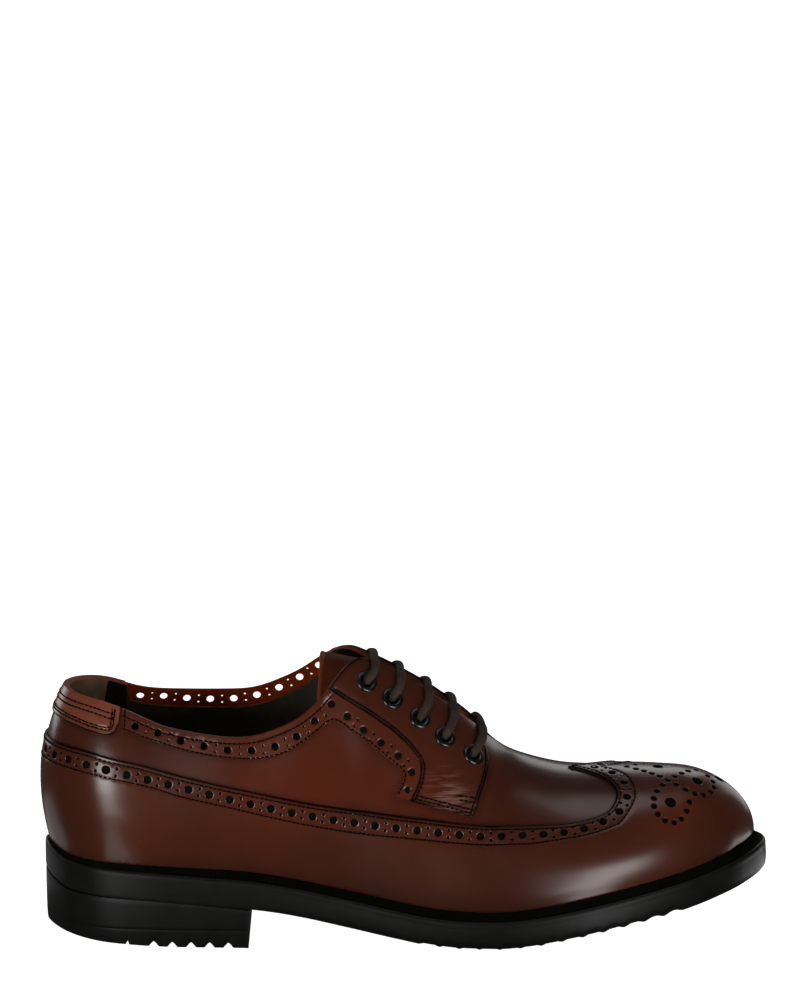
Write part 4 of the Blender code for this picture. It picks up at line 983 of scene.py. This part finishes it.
def build_wing(shape, lines, finish):
    """The long wing with its band of brogueing, the toe medallion and the rows of stitches."""
    feather = flat_place(np.linspace(-S_TOE, S_TOE, FEATHER_POINTS, endpoint=False), np.zeros(FEATHER_POINTS))
    edge, hole_line = round_shoe(lines["wing"]), closed(round_shoe(lines["holes"]))
    holes = brogue_row(shape, hole_line, HOLE_PITCH, HOLE_RADIUS, PIN_RADIUS, ring=True)
    to_foot = -1.0 if counter_clockwise(edge) is edge else 1.0
    rows = [shape.beside(closed(edge), to_foot * WING_ROW), closed(round_shoe(lines["band"]))]
    panel = Panel(shape, [feather, edge] + holes + medallion_holes(shape), WING_TOP, soft=2, seams=rows)
    top, foot = (np.tile(distance_to(panel.places, [loop]), 2) for loop in (edge, feather))
    keys = ("wing", "underlay_shade", "cut_edge")
    add_overlay(shape, panel, "wing", keys, "wing_cap", rows, "wing_stitches", finish,
                edge=np.minimum(top, WING_FOOT_EDGE + foot * WING_FOOT_FADE))


def facing_outline(lines, side):
    """The facing's outline: up its rear edge, along the throat and back round its front and foot."""
    top = top_line(FACING_TOP_REAR, FACING_TOP_FRONT)
    rows = np.vstack([lines["facing_rear"], top, lines["facing_front"], lines["facing_foot"]])
    return on_side(divided(rows), side)


def facing_rows(shape, lines, side):
    """Rows of stitches: along the sewn edges, again along the foot, and two tacks at the front corner."""
    front, foot, rear = lines["facing_front"], lines["facing_foot"], lines["facing_rear"]
    sewn = on_side(divided(np.vstack([front, foot, rear]), loop=False), side)
    foot = on_side(divided(np.vstack([foot, rear[:1]]), loop=False), side)
    tacks = [on_side(divided(by_height(tack), loop=False), side) for tack in FACING_TACKS]
    return [shape.beside(sewn, side * FACING_ROW), shape.beside(foot, side * FACING_FOOT_ROW)] + tacks


def divided(rows, loop=True):
    """Rows of (s, v) with the long gaps between them filled."""
    rows = closed(rows) if loop else rows
    filled = []
    for a, b in zip(rows[:-1], rows[1:]):
        gap = math.hypot(b[0] - a[0], (b[1] - a[1]) * FLAT_SPAN)
        count = math.ceil(gap / GAP_STEP) if gap > GAP_LEAST else 0
        filled += [a + (b - a) * k / count for k in range(count)]
    return np.array(filled)


def strip_outline(lines, side):
    """The collar strip's outline, with its front edge tucked under the facing."""
    tucked = by_height(finer(FACING_REAR[:-1]) + (STRIP_TUCK, 0.0))
    top = top_line(FACING_TOP_REAR, TAB_TOP_S + STRIP_END_GAP)
    rows = np.vstack([lines["collar_low"], lines["strip_rear"], smooth_line(tucked), top])
    return on_side(divided(rows), side)


def tab_outline(lines):
    """The tab's outline: its lateral half from the middle of its top edge, and its medial half back."""
    half = divided(np.vstack([lines["tab"], top_line(0.0, TAB_TOP_S)]))
    half = half[half[:, 0] > 0.01]
    top = np.flatnonzero(half[:, 1] >= 0.95)
    half = np.roll(half, -top[np.argmin(half[top, 0])], axis=0)
    return np.vstack([on_side(half, LATERAL), on_side(half, MEDIAL)[::-1]])


def inner_row(shape, loop, distance):
    """A path inside a closed loop, at a distance from it."""
    turn = 1.0 if counter_clockwise(loop) is loop else -1.0
    path = shape.beside(closed(loop), turn * distance)
    return path[distance_to(path, [loop]) > ROW_CLEAR * distance]


def build_facing(shape, lines, side, finish):
    """A facing with its eyelet holes, its rows of stitches and brushed strokes at its foot that carry a
    painted highlight.
    """
    name = SIDE_NAMES[side]
    outline = facing_outline(lines, side)
    holes = hole_loops(shape, on_side(np.array(EYELETS), side), EYELET_INNER + EYELET_SLACK, EYE_SEGMENTS)
    rows = facing_rows(shape, lines, side)
    panel = Panel(shape, [outline] + holes, FACING_TOP, seams=rows)
    # Where the brushed strokes with their painted highlight fall.
    away = distance_to(panel.flat, [on_side(by_height([BRUSH_HIGHLIGHT_PLACE]), side)]) / BRUSH_HIGHLIGHT_RADIUS
    keys = ("quarter", "lining_and_shade", "cut_edge")
    add_overlay(shape, panel, "facing_leather_" + name, keys, "facing_" + name, rows,
                "facing_stitches_" + name, finish, brush=np.exp(-away ** 2))
    return outline


def build_strip(shape, lines, side, finish):
    """The perforated strip along the collar and down behind the facing."""
    name = SIDE_NAMES[side]
    outline = strip_outline(lines, side)
    along, down = on_side(lines["collar_holes"][side], side), on_side(lines["strip_holes"], side)
    holes = brogue_row(shape, along, COLLAR_PITCH[side], COLLAR_HOLE_RADIUS, COLLAR_PIN_RADIUS)
    holes += brogue_row(shape, down, STRIP_PITCH, COLLAR_HOLE_RADIUS, PIN_RADIUS, lead=STRIP_PITCH)
    holes += hole_loops(shape, on_side(by_height([STRIP_LAST_HOLE]), side), STRIP_LAST_RADIUS)
    end = np.array([(TAB_TOP_S + STRIP_LOW_START, 1.0)])
    low = on_side(divided(np.vstack([end, lines["collar_low"], lines["strip_rear"]]), loop=False), side)
    rows = [shape.beside(low, -side * STRIP_LOW_ROW)]
    if side == LATERAL:
        high = on_side(top_line(TAB_TOP_S + STRIP_HIGH_INSET, FACING_TOP_REAR - STRIP_HIGH_INSET), side)
        rows.append(shape.beside(high, side * STRIP_HIGH_ROW))
    rim = np.vstack([on_side(top_line(TAB_TOP_S, FACING_TOP_REAR, RIM_STEP), side)] + holes)
    panel = Panel(shape, [outline] + holes, STRIP_TOP, seams=rows, rim=rim, foot=STRIP_FOOT)
    keys = ("strip", "band_back", "cut_edge", "rim")
    add_overlay(shape, panel, "collar_strip_" + name, keys, "collar_trim_" + name, rows,
                "strip_stitches_" + name, finish,
                tone=tone(panel.flat) * STRIP_TONE + STRIP_WARMTH, edge=panel.edge + STRIP_EDGE)
    return outline


def build_tab(shape, lines, finish):
    """The tab over the back seam, with two rows of stitches."""
    outline = tab_outline(lines)
    rows = [inner_row(shape, outline, distance) for distance in TAB_ROWS]
    rim = np.vstack([on_side(top_line(0.0, TAB_TOP_S, RIM_STEP), side) for side in SIDES])
    panel = Panel(shape, [outline], TAB_TOP, seams=rows, rim=rim)
    sewn = [on_side(lines["tab"], side) for side in SIDES]
    keys = ("trim", "lining_and_shade", "cut_edge", "rim")
    add_overlay(shape, panel, "tab", keys, "heel_tab", rows, "tab_stitches", finish,
                edge=distance_to(panel.flat, sewn))
    return outline


def collar_drop(q):
    """How far the lined upper stops short of the collar's edge, where the strip alone goes on."""
    s = abs(q)
    rise = np.clip((s - COLLAR_START) / COLLAR_START_RUN, 0.0, 1.0)
    fall = np.clip((COLLAR_STOP - s) / COLLAR_STOP_RUN, 0.0, 1.0)
    return COLLAR_BAND * np.minimum(rise, fall)


def build_upper(outlines, finish):
    """The vamp and quarters with their lining, as one shell with a rolled top edge."""
    keys = ("quarter", "underlay_shade", "lining_and_shade", "heel_lining", "tab_lining", "rim")
    quarter, underlay_shade, lining_and_shade, heel_lining, tab_lining, rim_slot = range(len(keys))
    columns, rows = 2 * LAST_COLUMNS + 1, LAST_ROWS + 1
    q = np.linspace(-S_TOE, S_TOE, columns)
    low, high = (last(q, np.full(columns, share)) for share in (GIRTH_LOW, GIRTH_HIGH))
    girth = np.linalg.norm(high - low, axis=1) / (GIRTH_HIGH - GIRTH_LOW)
    top = 1.0 - collar_drop(q) / girth
    qq = np.repeat(q, rows)
    vv = (top[:, None] * np.linspace(0.0, 1.0, rows)[None, :]).ravel()
    points, flat = last(qq, vv), flat_place(qq, vv)
    inner = points - last_normal(qq, vv) * UPPER_WALL
    count = len(points)
    quads = grid_quads(columns, rows)
    rim = np.arange(columns - 1) * rows + rows - 1
    rim = rim[abs((q[:-1] + q[1:]) / 2.0) < THROAT_REACH]
    rims = np.column_stack([rim, rim + rows, rim + rows + count, rim + count])
    faces = np.vstack([quads[:, ::-1], quads + count, rims[:, ::-1]])
    edges, middles = list(outlines.values()), flat[quads].mean(axis=1)
    # Upper hidden under the overlays takes the near-black underlay, painted shade seen through the holes.
    hidden = ~inside(middles, [outlines["wing"]])
    hidden |= inside(middles, [outlines[key] for key in outlines if key != "wing"])
    hidden &= distance_to(middles, edges) >= UNDERLAP
    s = abs(qq[quads].mean(axis=1))
    lined = np.where(s < HEEL_LINING_REACH, heel_lining, np.where(s < TAB_LINING_REACH, tab_lining, lining_and_shade))
    slots = np.concatenate([np.where(hidden, underlay_shade, quarter), lined, np.full(len(rims), rim_slot)])
    # Distance to the overlays' edges, at least 1 mm: the leather darkens within 3 mm of them as painted shade
    # beside the overlays.
    edge = np.tile(np.maximum(distance_to(flat, edges), 1.0), 2)
    materials = [finish[key] for key in keys]
    add_piece("vamp_and_quarters", np.vstack([points, inner]), faces, materials, ["upper"], slots=slots,
              tone=np.tile(tone(flat), 2), edge=edge, seam=np.zeros(2 * count))


def stitch_shape():
    """One stitch: a short bar with rounded ends, along x, in units of its half length and radius."""
    turn = np.linspace(0.0, math.tau, STITCH_SIDES, endpoint=False)
    return capped([np.column_stack([np.full(STITCH_SIDES, x), r * np.cos(turn), -r * np.sin(turn)])
                   for x, r in STITCH_RINGS])


def build_stitches(shape, name, paths, height, finish):
    """Rows of stitches along paths of the pattern."""
    bar, bar_faces = stitch_shape()
    bar = bar * (STITCH_LENGTH / 2.0, STITCH_RADIUS, STITCH_RADIUS)
    points, faces = [], []
    for path in paths:
        places, along = spaced(shape, path, STITCH_PITCH, whole=False)
        here, out = shape.at(places)
        ahead = unit(shape.at(places + unit(along) * STITCH_AHEAD)[0] - here)
        for centre, x, y, z in zip(here + out * height, ahead, np.cross(out, ahead), out):
            start = len(points) * len(bar)
            points.append(centre + bar @ np.vstack([x, y, z]))
            faces += [tuple(start + i for i in face) for face in bar_faces]
    add_piece(name, np.vstack(points), faces, [finish["thread"]])


def tongue_row(s):
    """Points across the tongue under the facings, with a slight crown where the throat is open."""
    depth = UPPER_WALL + TONGUE_CLEAR
    shares = np.append(TONGUE_SHARES, 1.0)
    halves = []
    for side in SIDES:
        q = np.full(len(shares), side * s)
        halves.append(last(q, shares) - last_normal(q, shares) * depth)
    middle = (halves[0][-1] + halves[1][-1]) / 2.0
    if abs(halves[0][-1][1] - halves[1][-1][1]) > 2.0 * TONGUE_CROWN:
        middle[2] += TONGUE_CROWN
    return np.vstack([halves[0][:-1], middle, halves[1][-2::-1]])


def tongue_grid():
    """Rows across the tongue, from its free end behind the lacing to its foot."""
    marks = np.arange(len(TONGUE_STATIONS))
    stations = np.interp(np.linspace(0, marks[-1], TONGUE_COLUMNS), marks, TONGUE_STATIONS)
    rows = [tongue_row(distance_at(u)) for u in stations]
    free = []
    for share in np.linspace(1.0, 0.0, TONGUE_FREE_COLUMNS, endpoint=False):
        back = share * (TONGUE_STATIONS[0] - TONGUE_END)
        row = rows[0] * (1.0, 1.0 - TONGUE_TAPER * share ** 4, 1.0) + (-back, 0.0, TONGUE_LIFT * back)
        row[:, 0] += share * TONGUE_LEAN * (row[:, 2] - row[:, 2].min())
        free.append(row)
    return np.array(free + rows)


def build_tongue(finish):
    """The tongue: under the facings, with a free end that stands up behind the lacing."""
    grid = tongue_grid()
    out = unit(np.cross(np.gradient(grid, axis=0), np.gradient(grid, axis=1)))
    columns, rows = grid.shape[:2]
    upper, lower = grid.reshape(-1, 3), (grid - out * TONGUE_WALL).reshape(-1, 3)
    quads, total = grid_quads(columns, rows), len(upper)
    numbers = np.arange(total).reshape(columns, rows)
    border = [*numbers[0, :-1], *numbers[:-1, -1], *numbers[-1, :0:-1], *numbers[:0:-1, 0]]
    walls = [(a, b, b + total, a + total) for a, b in zip(border, border[1:] + border[:1])]
    faces = quads.tolist() + (quads[:, ::-1] + total).tolist() + walls
    # Only the free end and two columns beyond it show the tongue's leather; the rest of its face, under the
    # lacing, takes the dark lining as painted shade.
    unshaded_faces = (TONGUE_FREE_COLUMNS + 2) * (rows - 1)
    slots = [0] * unshaded_faces + [1] * (2 * len(quads) - unshaded_faces) + [0] * len(walls)
    materials = [finish["tongue"], finish["lining_and_shade"]]
    add_piece("tongue_leather", np.vstack([upper, lower]), faces, materials, ["tongue"], slots=slots)
    # The rear edge's bead is lighter than the tongue as a painted highlight.
    edge = smooth_points(grid[0] - out[0] * TONGUE_WALL / 2.0, TONGUE_BEAD_POINTS)
    points, faces = tube(edge, TONGUE_BEAD)
    add_piece("tongue_edge", points, faces, [finish["tongue_edge"]])


def eyelet_profile():
    """Radius and height of the rings of points of a rolled eyelet, from its barrel to its outer edge."""
    turn = math.pi * np.linspace(-EYELET_ROLL, 1.0 + EYELET_ROLL, EYELET_STEPS + 1)
    middle, half = (EYELET_OUTER + EYELET_INNER) / 2.0, (EYELET_OUTER - EYELET_INNER) / 2.0
    rolled = np.column_stack([middle - half * np.cos(turn), EYELET_RISE * np.sin(turn)])
    return np.vstack([(EYELET_INNER, -EYELET_DEPTH), rolled])


def build_eyelets(shape, finish):
    """Rolled metal rings set in the facings."""
    profile = eyelet_profile()
    faces = grid_quads(len(profile), EYELET_SEGMENTS, True)
    turn = np.linspace(0.0, math.tau, EYELET_SEGMENTS, endpoint=False)[:, None]
    for side in SIDES:
        for number, place in enumerate(on_side(np.array(EYELETS), side), 1):
            here, out = (found[0] for found in shape.at(place[None]))
            x = unit(shape.at(place + shape.steps(place[None])[0] * 0.5)[0][0] - here)
            ways = np.cos(turn) * x + np.sin(turn) * np.cross(out, x)
            centre = here + out * (FACING_TOP - EYELET_SUNK)
            points = np.vstack([centre + ways * radius + out * height for radius, height in profile])
            name = "%s_%d" % (SIDE_NAMES[side], number)
            add_piece("ring_" + name, points, faces, [finish["eyelet"]], ["eyelet_" + name], slot="eyelet",
                      sharp=80.0)


def smooth_points(rows, count):
    """A soft curve of points through the rows."""
    knots = lengths_along(rows)
    track = soft_track(knots, rows, (knots[0] - 1.0, rows[0]), (knots[-1] + 1.0, rows[-1]))
    return track(np.linspace(0.0, knots[-1], count))


def tube(path, radius):
    """Points and faces of a round tube along a path."""
    along = unit(np.gradient(path, axis=0))
    side = unit(np.cross(along, (1.0, 0.0, 0.0)))
    other = np.cross(side, along)
    turn = np.linspace(0.0, math.tau, TUBE_SIDES, endpoint=False)[:, None]
    ways = [np.cos(turn) * x + np.sin(turn) * y for x, y in zip(side, other)]
    return capped([place + way * radius for place, way in zip(path, ways)])


def build_lace(finish):
    """Five bars of one lace, each up through an eyelet, over the throat and down through the other."""
    for number, (s, v) in enumerate(EYELETS, 1):
        halves = []
        for side in SIDES:
            q = side * (s + np.array(LACE_SWAY[side]))
            shares = v + (1.0 - v) * np.array(LACE_SHARES)
            rises = FACING_TOP + np.array(LACE_RISE[side])
            halves.append(last(q, shares) + last_normal(q, shares) * rises[:, None])
        rows = np.vstack([halves[0], halves[1][::-1]])
        points, faces = tube(smooth_points(rows, LACE_POINTS), LACE_RADIUS)
        nodes = ["lace_bar_%d" % number]
        add_piece("lace_run_%d" % number, points, faces, [finish["lace"]], nodes, slot="lace")


def distance_at(u):
    """Distance s of a station, as the mean of the two sides."""
    return np.interp(u, STATIONS, KNOTS)


def plan_at(q, distance):
    """Plan points in from the sole's edge towards the ridge."""
    edge = sole_edge(q)
    return edge + unit(core(abs(wrapped(q))) - edge) * np.asarray(distance)[..., None]


def ring_sweep(rings, loop=False):
    """Points and faces of a strip swept round the sole through rings of points."""
    grid = np.stack(rings, axis=1)
    return grid.reshape(-1, 3), grid_quads(*grid.shape[:2], loop).tolist()


def level(plan, z):
    """Plan points at heights z."""
    return np.column_stack([plan, np.broadcast_to(z, len(plan))])


def seat_rise(u):
    """How far the seat of the heel cups up towards the back."""
    slow = SEAT_RISE * np.clip(1.0 - u / SEAT_REACH, 0.0, 1.0)
    return slow + SEAT_BACK_RISE * np.clip(1.0 - u / SEAT_BACK_REACH, 0.0, 1.0) ** 2


def scallop_lift(q):
    """Rise of the forefoot's lower edge between the tips of its scallops."""
    turn = (abs(wrapped(q)) - SCALLOP_FROM) / SCALLOP_PITCH
    within = (turn > 0.0) & (turn < SCALLOPS)
    scoop = (0.5 - 0.5 * np.cos(math.tau * turn)) ** 0.7
    return np.where(within, SCALLOP_DEPTH * scoop, 0.0)


def build_outsole(finish):
    """The rubber outsole: its rounded side, the lugs under its edge and the raised middle."""
    q = np.linspace(-S_TOE, S_TOE, SOLE_COLUMNS)
    edge, middle = sole_edge(q), core(abs(q))
    base = sole_sizes(edge[:, 0])[0] + seat_rise(edge[:, 0])
    lift = scallop_lift(q)

    def under(distance, share, rise=0.0):
        plan = plan_at(q, distance)
        low, high, _ = sole_sizes(plan[:, 0])
        return level(plan, low + (high - low) * share + rise)

    def side(distance, share):
        return level(plan_at(q, distance), base + lift * (1.0 - share) + OUTSOLE_EDGE * share)

    def top(plan):
        return level(plan, sole_sizes(plan[:, 0])[0] + OUTSOLE_EDGE)

    share = LUG_REACH / MIDDLE_INSET
    turned = HEEL_TURN + (1.0 - HEEL_TURN) * np.clip((edge[:, 0] - HEEL_BREAST) / HEEL_TURN_RUN, 0.0, 1.0)
    rings = [top(middle), top(plan_at(q, MIDDLE_INSET)), side(0.2, 1.0), side(0.0, 1.0)]
    rings += [side(inset * turned, height) for inset, height in OUTSOLE_SIDE]
    rings += [under(LUG_REACH, share, lift), under(LUG_REACH + LUG_STEP, share), under(MIDDLE_INSET, 1.0)]
    rings.append(level(middle, sole_sizes(middle[:, 0])[1]))
    points, faces = ring_sweep(rings)
    add_piece("rubber_outsole", points, faces, [finish["rubber"]], ["outsole"], slot="rubber", sharp=45.0)


def build_welt(finish):
    """The welt: a rounded rim over the sole's side and a rough raised band beside the upper."""
    q = np.linspace(-S_TOE, S_TOE, WELT_COLUMNS)
    edge, ways = sole_edge(q), inward(q)
    edge_z, _, width = sole_sizes(edge[:, 0])
    seat = edge_z + seat_rise(edge[:, 0])
    base = seat + OUTSOLE_EDGE
    tooth = np.clip(2.0 * np.cos(math.tau * q / WELT_TOOTH), -1.0, 1.0) * WELT_TOOTH_DEPTH
    feather = seat + FEATHER_RISE + WELT_BACK_RISE * np.clip(1.0 - edge[:, 0] / WELT_BACK_REACH, 0.0, 1.0)
    lip = feather + WELT_LIP
    rise = lip - base - WELT_EDGE
    bulge = WELT_BULGE * (feather - edge_z - FEATHER_RISE)

    def ring(distance, z):
        return level(edge + ways * np.broadcast_to(distance, q.shape)[:, None], z)

    rim = [ring(inset, base + height) for inset, height in WELT_RIM]
    band = [ring(WELT_GROOVE, base + WELT_EDGE - WELT_GROOVE_DEPTH)]
    for across, out, up, rough in WELT_BAND:
        band.append(ring(width * across - bulge * out, base + WELT_EDGE + rise * up + tooth * rough))
    band += [ring(width - WELT_LIP_OUT - bulge, lip), ring(width + WELT_LIP_IN, lip)]
    band += [ring(width + WELT_TUCK, edge_z + FEATHER_RISE - WELT_TUCK_SINK), ring(width + WELT_TUCK, base)]
    points, faces = ring_sweep(band[::-1] + rim[::-1], True)
    slots = ([1] * len(band) + [0] * (len(rim) - 1) + [1]) * (len(q) - 1)
    add_piece("black_welt", points, faces, [finish["rubber"], finish["welt_black"]], ["welt"], slot="welt",
              sharp=55.0, slots=slots)


def build_insole(finish):
    """The sock lining, down to a rim that is hidden by the upper."""
    q = np.linspace(-S_TOE, S_TOE, INSOLE_COLUMNS)
    width = sole_sizes(sole_edge(q)[:, 0])[2]
    rim = sole_edge(q) + inward(q) * (width + INSOLE_TUCK)[:, None]
    rings = []
    for plan, sink in ((core(abs(q)), 0.0), (plan_at(q, MIDDLE_INSET), 0.0), (rim, 0.0), (rim, INSOLE_DEPTH)):
        rings.append(level(plan, sole_sizes(plan[:, 0])[0] + FEATHER_RISE + INSOLE_RISE - sink))
    points, faces = ring_sweep(rings)
    add_piece("sock_lining", points, faces, [finish["sock"]], ["insole"], slot="insole")


def heel_bottom(u):
    """Height of the heel's underside, which rises a little at the back."""
    return HEEL_BACK_RISE * np.maximum(0.0, 1.0 - u / HEEL_FLAT_FROM) ** 1.5


def heel_notch(q):
    """Rise of the top lift's lower edge in the slit and the notches between its lugs."""
    u = sole_edge(q)[:, 0]
    rise = np.zeros(len(q))
    notches = [(HEEL_SLIT, HEEL_SLIT_HALF)] + [(place, HEEL_NOTCH_HALF) for place in HEEL_NOTCHES]
    for place, half in notches:
        away = np.minimum(abs(u - place) / half, 1.0)
        rise = np.maximum(rise, HEEL_NOTCH_DEPTH * (1.0 - away ** 1.3))
    return rise


def cut_at_breast(plan):
    """Plan points with none in front of the heel's breast."""
    return np.column_stack([np.minimum(plan[:, 0], HEEL_BREAST), plan[:, 1]])


def add_heel_layer(name, rings, finish, node):
    """A layer of the heel: rings swept round the back and a flat breast across the front."""
    points, faces = ring_sweep(rings)
    rows = len(rings)
    breast = [*range(rows), *range(len(points) - 2, len(points) - rows, -1)]
    add_piece(name, points, faces + [breast], [finish["rubber"]], [node], slot="rubber", sharp=45.0)


def build_heel(finish):
    """The heel's block and its top lift with lugs along the sides."""
    stop = distance_at(HEEL_BREAST) + 1.0
    q = np.linspace(-stop, stop, HEEL_COLUMNS)
    middle, edge = cut_at_breast(core(abs(q))), sole_edge(q)
    top = np.minimum(sole_sizes(edge[:, 0])[0], sole_sizes(middle[:, 0])[1]) - HEEL_GAP
    seat, notch = seat_rise(edge[:, 0]), heel_notch(q)

    def ring(distance, z):
        return level(cut_at_breast(plan_at(q, distance)), z)

    def low(distance, share, up=0.0):
        plan = cut_at_breast(plan_at(q, distance))
        return level(plan, heel_bottom(plan[:, 0]) + notch * share + up)

    block = [level(middle, top)] + [ring(inset, top + seat + up) for inset, up in BLOCK_TOP]
    block.append(ring(BLOCK_WAIST[0], top + BLOCK_WAIST[1]))
    block += [ring(inset, LIFT_TOP + up) for inset, up in BLOCK_FOOT] + [level(middle, LIFT_TOP + HEEL_GAP)]
    add_heel_layer("rubber_heel_block", block, finish, "heel_block")
    lift = [level(middle, LIFT_TOP)] + [ring(inset, LIFT_TOP + up) for inset, up in LIFT_UPPER]
    lift += [low(inset, 1.0, up) for inset, up in LIFT_LOWER]
    lift += [low(LUG_REACH + LUG_STEP, 0.0), level(middle, heel_bottom(middle[:, 0]))]
    add_heel_layer("rubber_top_lift", lift, finish, "top_lift")


def build_camera():
    """A camera at the photograph's viewing angle."""
    camera = bpy.data.objects.new("camera", bpy.data.cameras.new("camera"))
    bpy.context.scene.collection.objects.link(camera)
    rise = math.radians(CAMERA_ELEVATION)
    away = Vector((0.0, -math.cos(rise), math.sin(rise))) * CAMERA_DISTANCE
    camera.location = Vector(CAMERA_TARGET) + away
    camera.rotation_euler = (math.pi / 2.0 - rise, 0.0, 0.0)
    camera.data.lens = CAMERA_LENS
    camera.data.shift_x, camera.data.shift_y = CAMERA_SHIFT
    camera.data.clip_end = CAMERA_CLIP
    bpy.context.scene.camera = camera


def add_light(name, place, way, width, height, power, turn=0.0):
    """A rectangular light at a place that shines one way, turned about that way by degrees."""
    data = bpy.data.lights.new(name, "AREA")
    data.shape, data.size, data.size_y, data.energy = "RECTANGLE", width, height, power
    light = bpy.data.objects.new(name, data)
    light.location = place
    light.rotation_euler = way.to_track_quat("-Z", "Y").to_euler()
    light.rotation_euler.rotate_axis("Z", math.radians(turn))
    light.visible_camera = False
    bpy.context.scene.collection.objects.link(light)


def build_studio():
    """Soft lights, cards on the floor and a faint white surround."""
    for name, place, target, *values in LIGHTS:
        add_light(name, place, Vector(target) - Vector(place), *values)
    for name, place, *values in FLOOR_CARDS:
        add_light(name, place, Vector((0.0, 0.0, 1.0)), *values)
    world = bpy.data.worlds.new("studio")
    world.use_nodes = True
    surround = world.node_tree.nodes["Background"]
    surround.inputs["Color"].default_value = WHITE
    surround.inputs["Strength"].default_value = WORLD_STRENGTH
    bpy.context.scene.world = world
    bpy.context.scene.view_settings.view_transform = "Standard"


def build_floor():
    """A pale floor that sweeps up into a backdrop."""
    turns = np.linspace(0.0, math.pi / 2.0, SWEEP_STEPS + 1)
    back, up = FLOOR_BACK + SWEEP_RADIUS * np.sin(turns), SWEEP_RADIUS * (1.0 - np.cos(turns))
    profile = [(FLOOR_FRONT, 0.0), *zip(back, up), (FLOOR_BACK + SWEEP_RADIUS, WALL_TOP)]
    points = [(x, y, z) for y, z in profile for x in (-FLOOR_HALF, FLOOR_HALF)]
    faces = [(2 * i, 2 * i + 1, 2 * i + 3, 2 * i + 2) for i in range(len(profile) - 1)]
    mesh = bpy.data.meshes.new("floor")
    mesh.from_pydata(points, [], faces)
    mesh.shade_smooth()
    shader = Shader("floor_paper")
    shader.link(shader.ramp(shader.noise(3.0), ((0.0, FLOOR_DARK), (1.0, FLOOR_PALE))), "Base Color")
    shader.set(Roughness=0.85, Emission_Color=WHITE, Emission_Strength=1.0)
    mesh.materials.append(shader.material)
    floor = bpy.data.objects.new("floor", mesh)
    floor.visible_glossy = False
    floor.visible_diffuse = False
    bpy.context.scene.collection.objects.link(floor)


def main():
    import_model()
    build_camera()
    build_studio()
    build_floor()
    finish = make_materials()
    shape, lines = Last(), pattern()
    build_wing(shape, lines, finish)
    outlines = {"wing": round_shoe(lines["wing"]), "tab": build_tab(shape, lines, finish)}
    for side in SIDES:
        outlines["facing_%d" % side] = build_facing(shape, lines, side, finish)
        outlines["strip_%d" % side] = build_strip(shape, lines, side, finish)
    build_upper(outlines, finish)
    build_tongue(finish)
    build_eyelets(shape, finish)
    build_lace(finish)
    build_outsole(finish)
    build_welt(finish)
    build_insole(finish)
    build_heel(finish)


main()
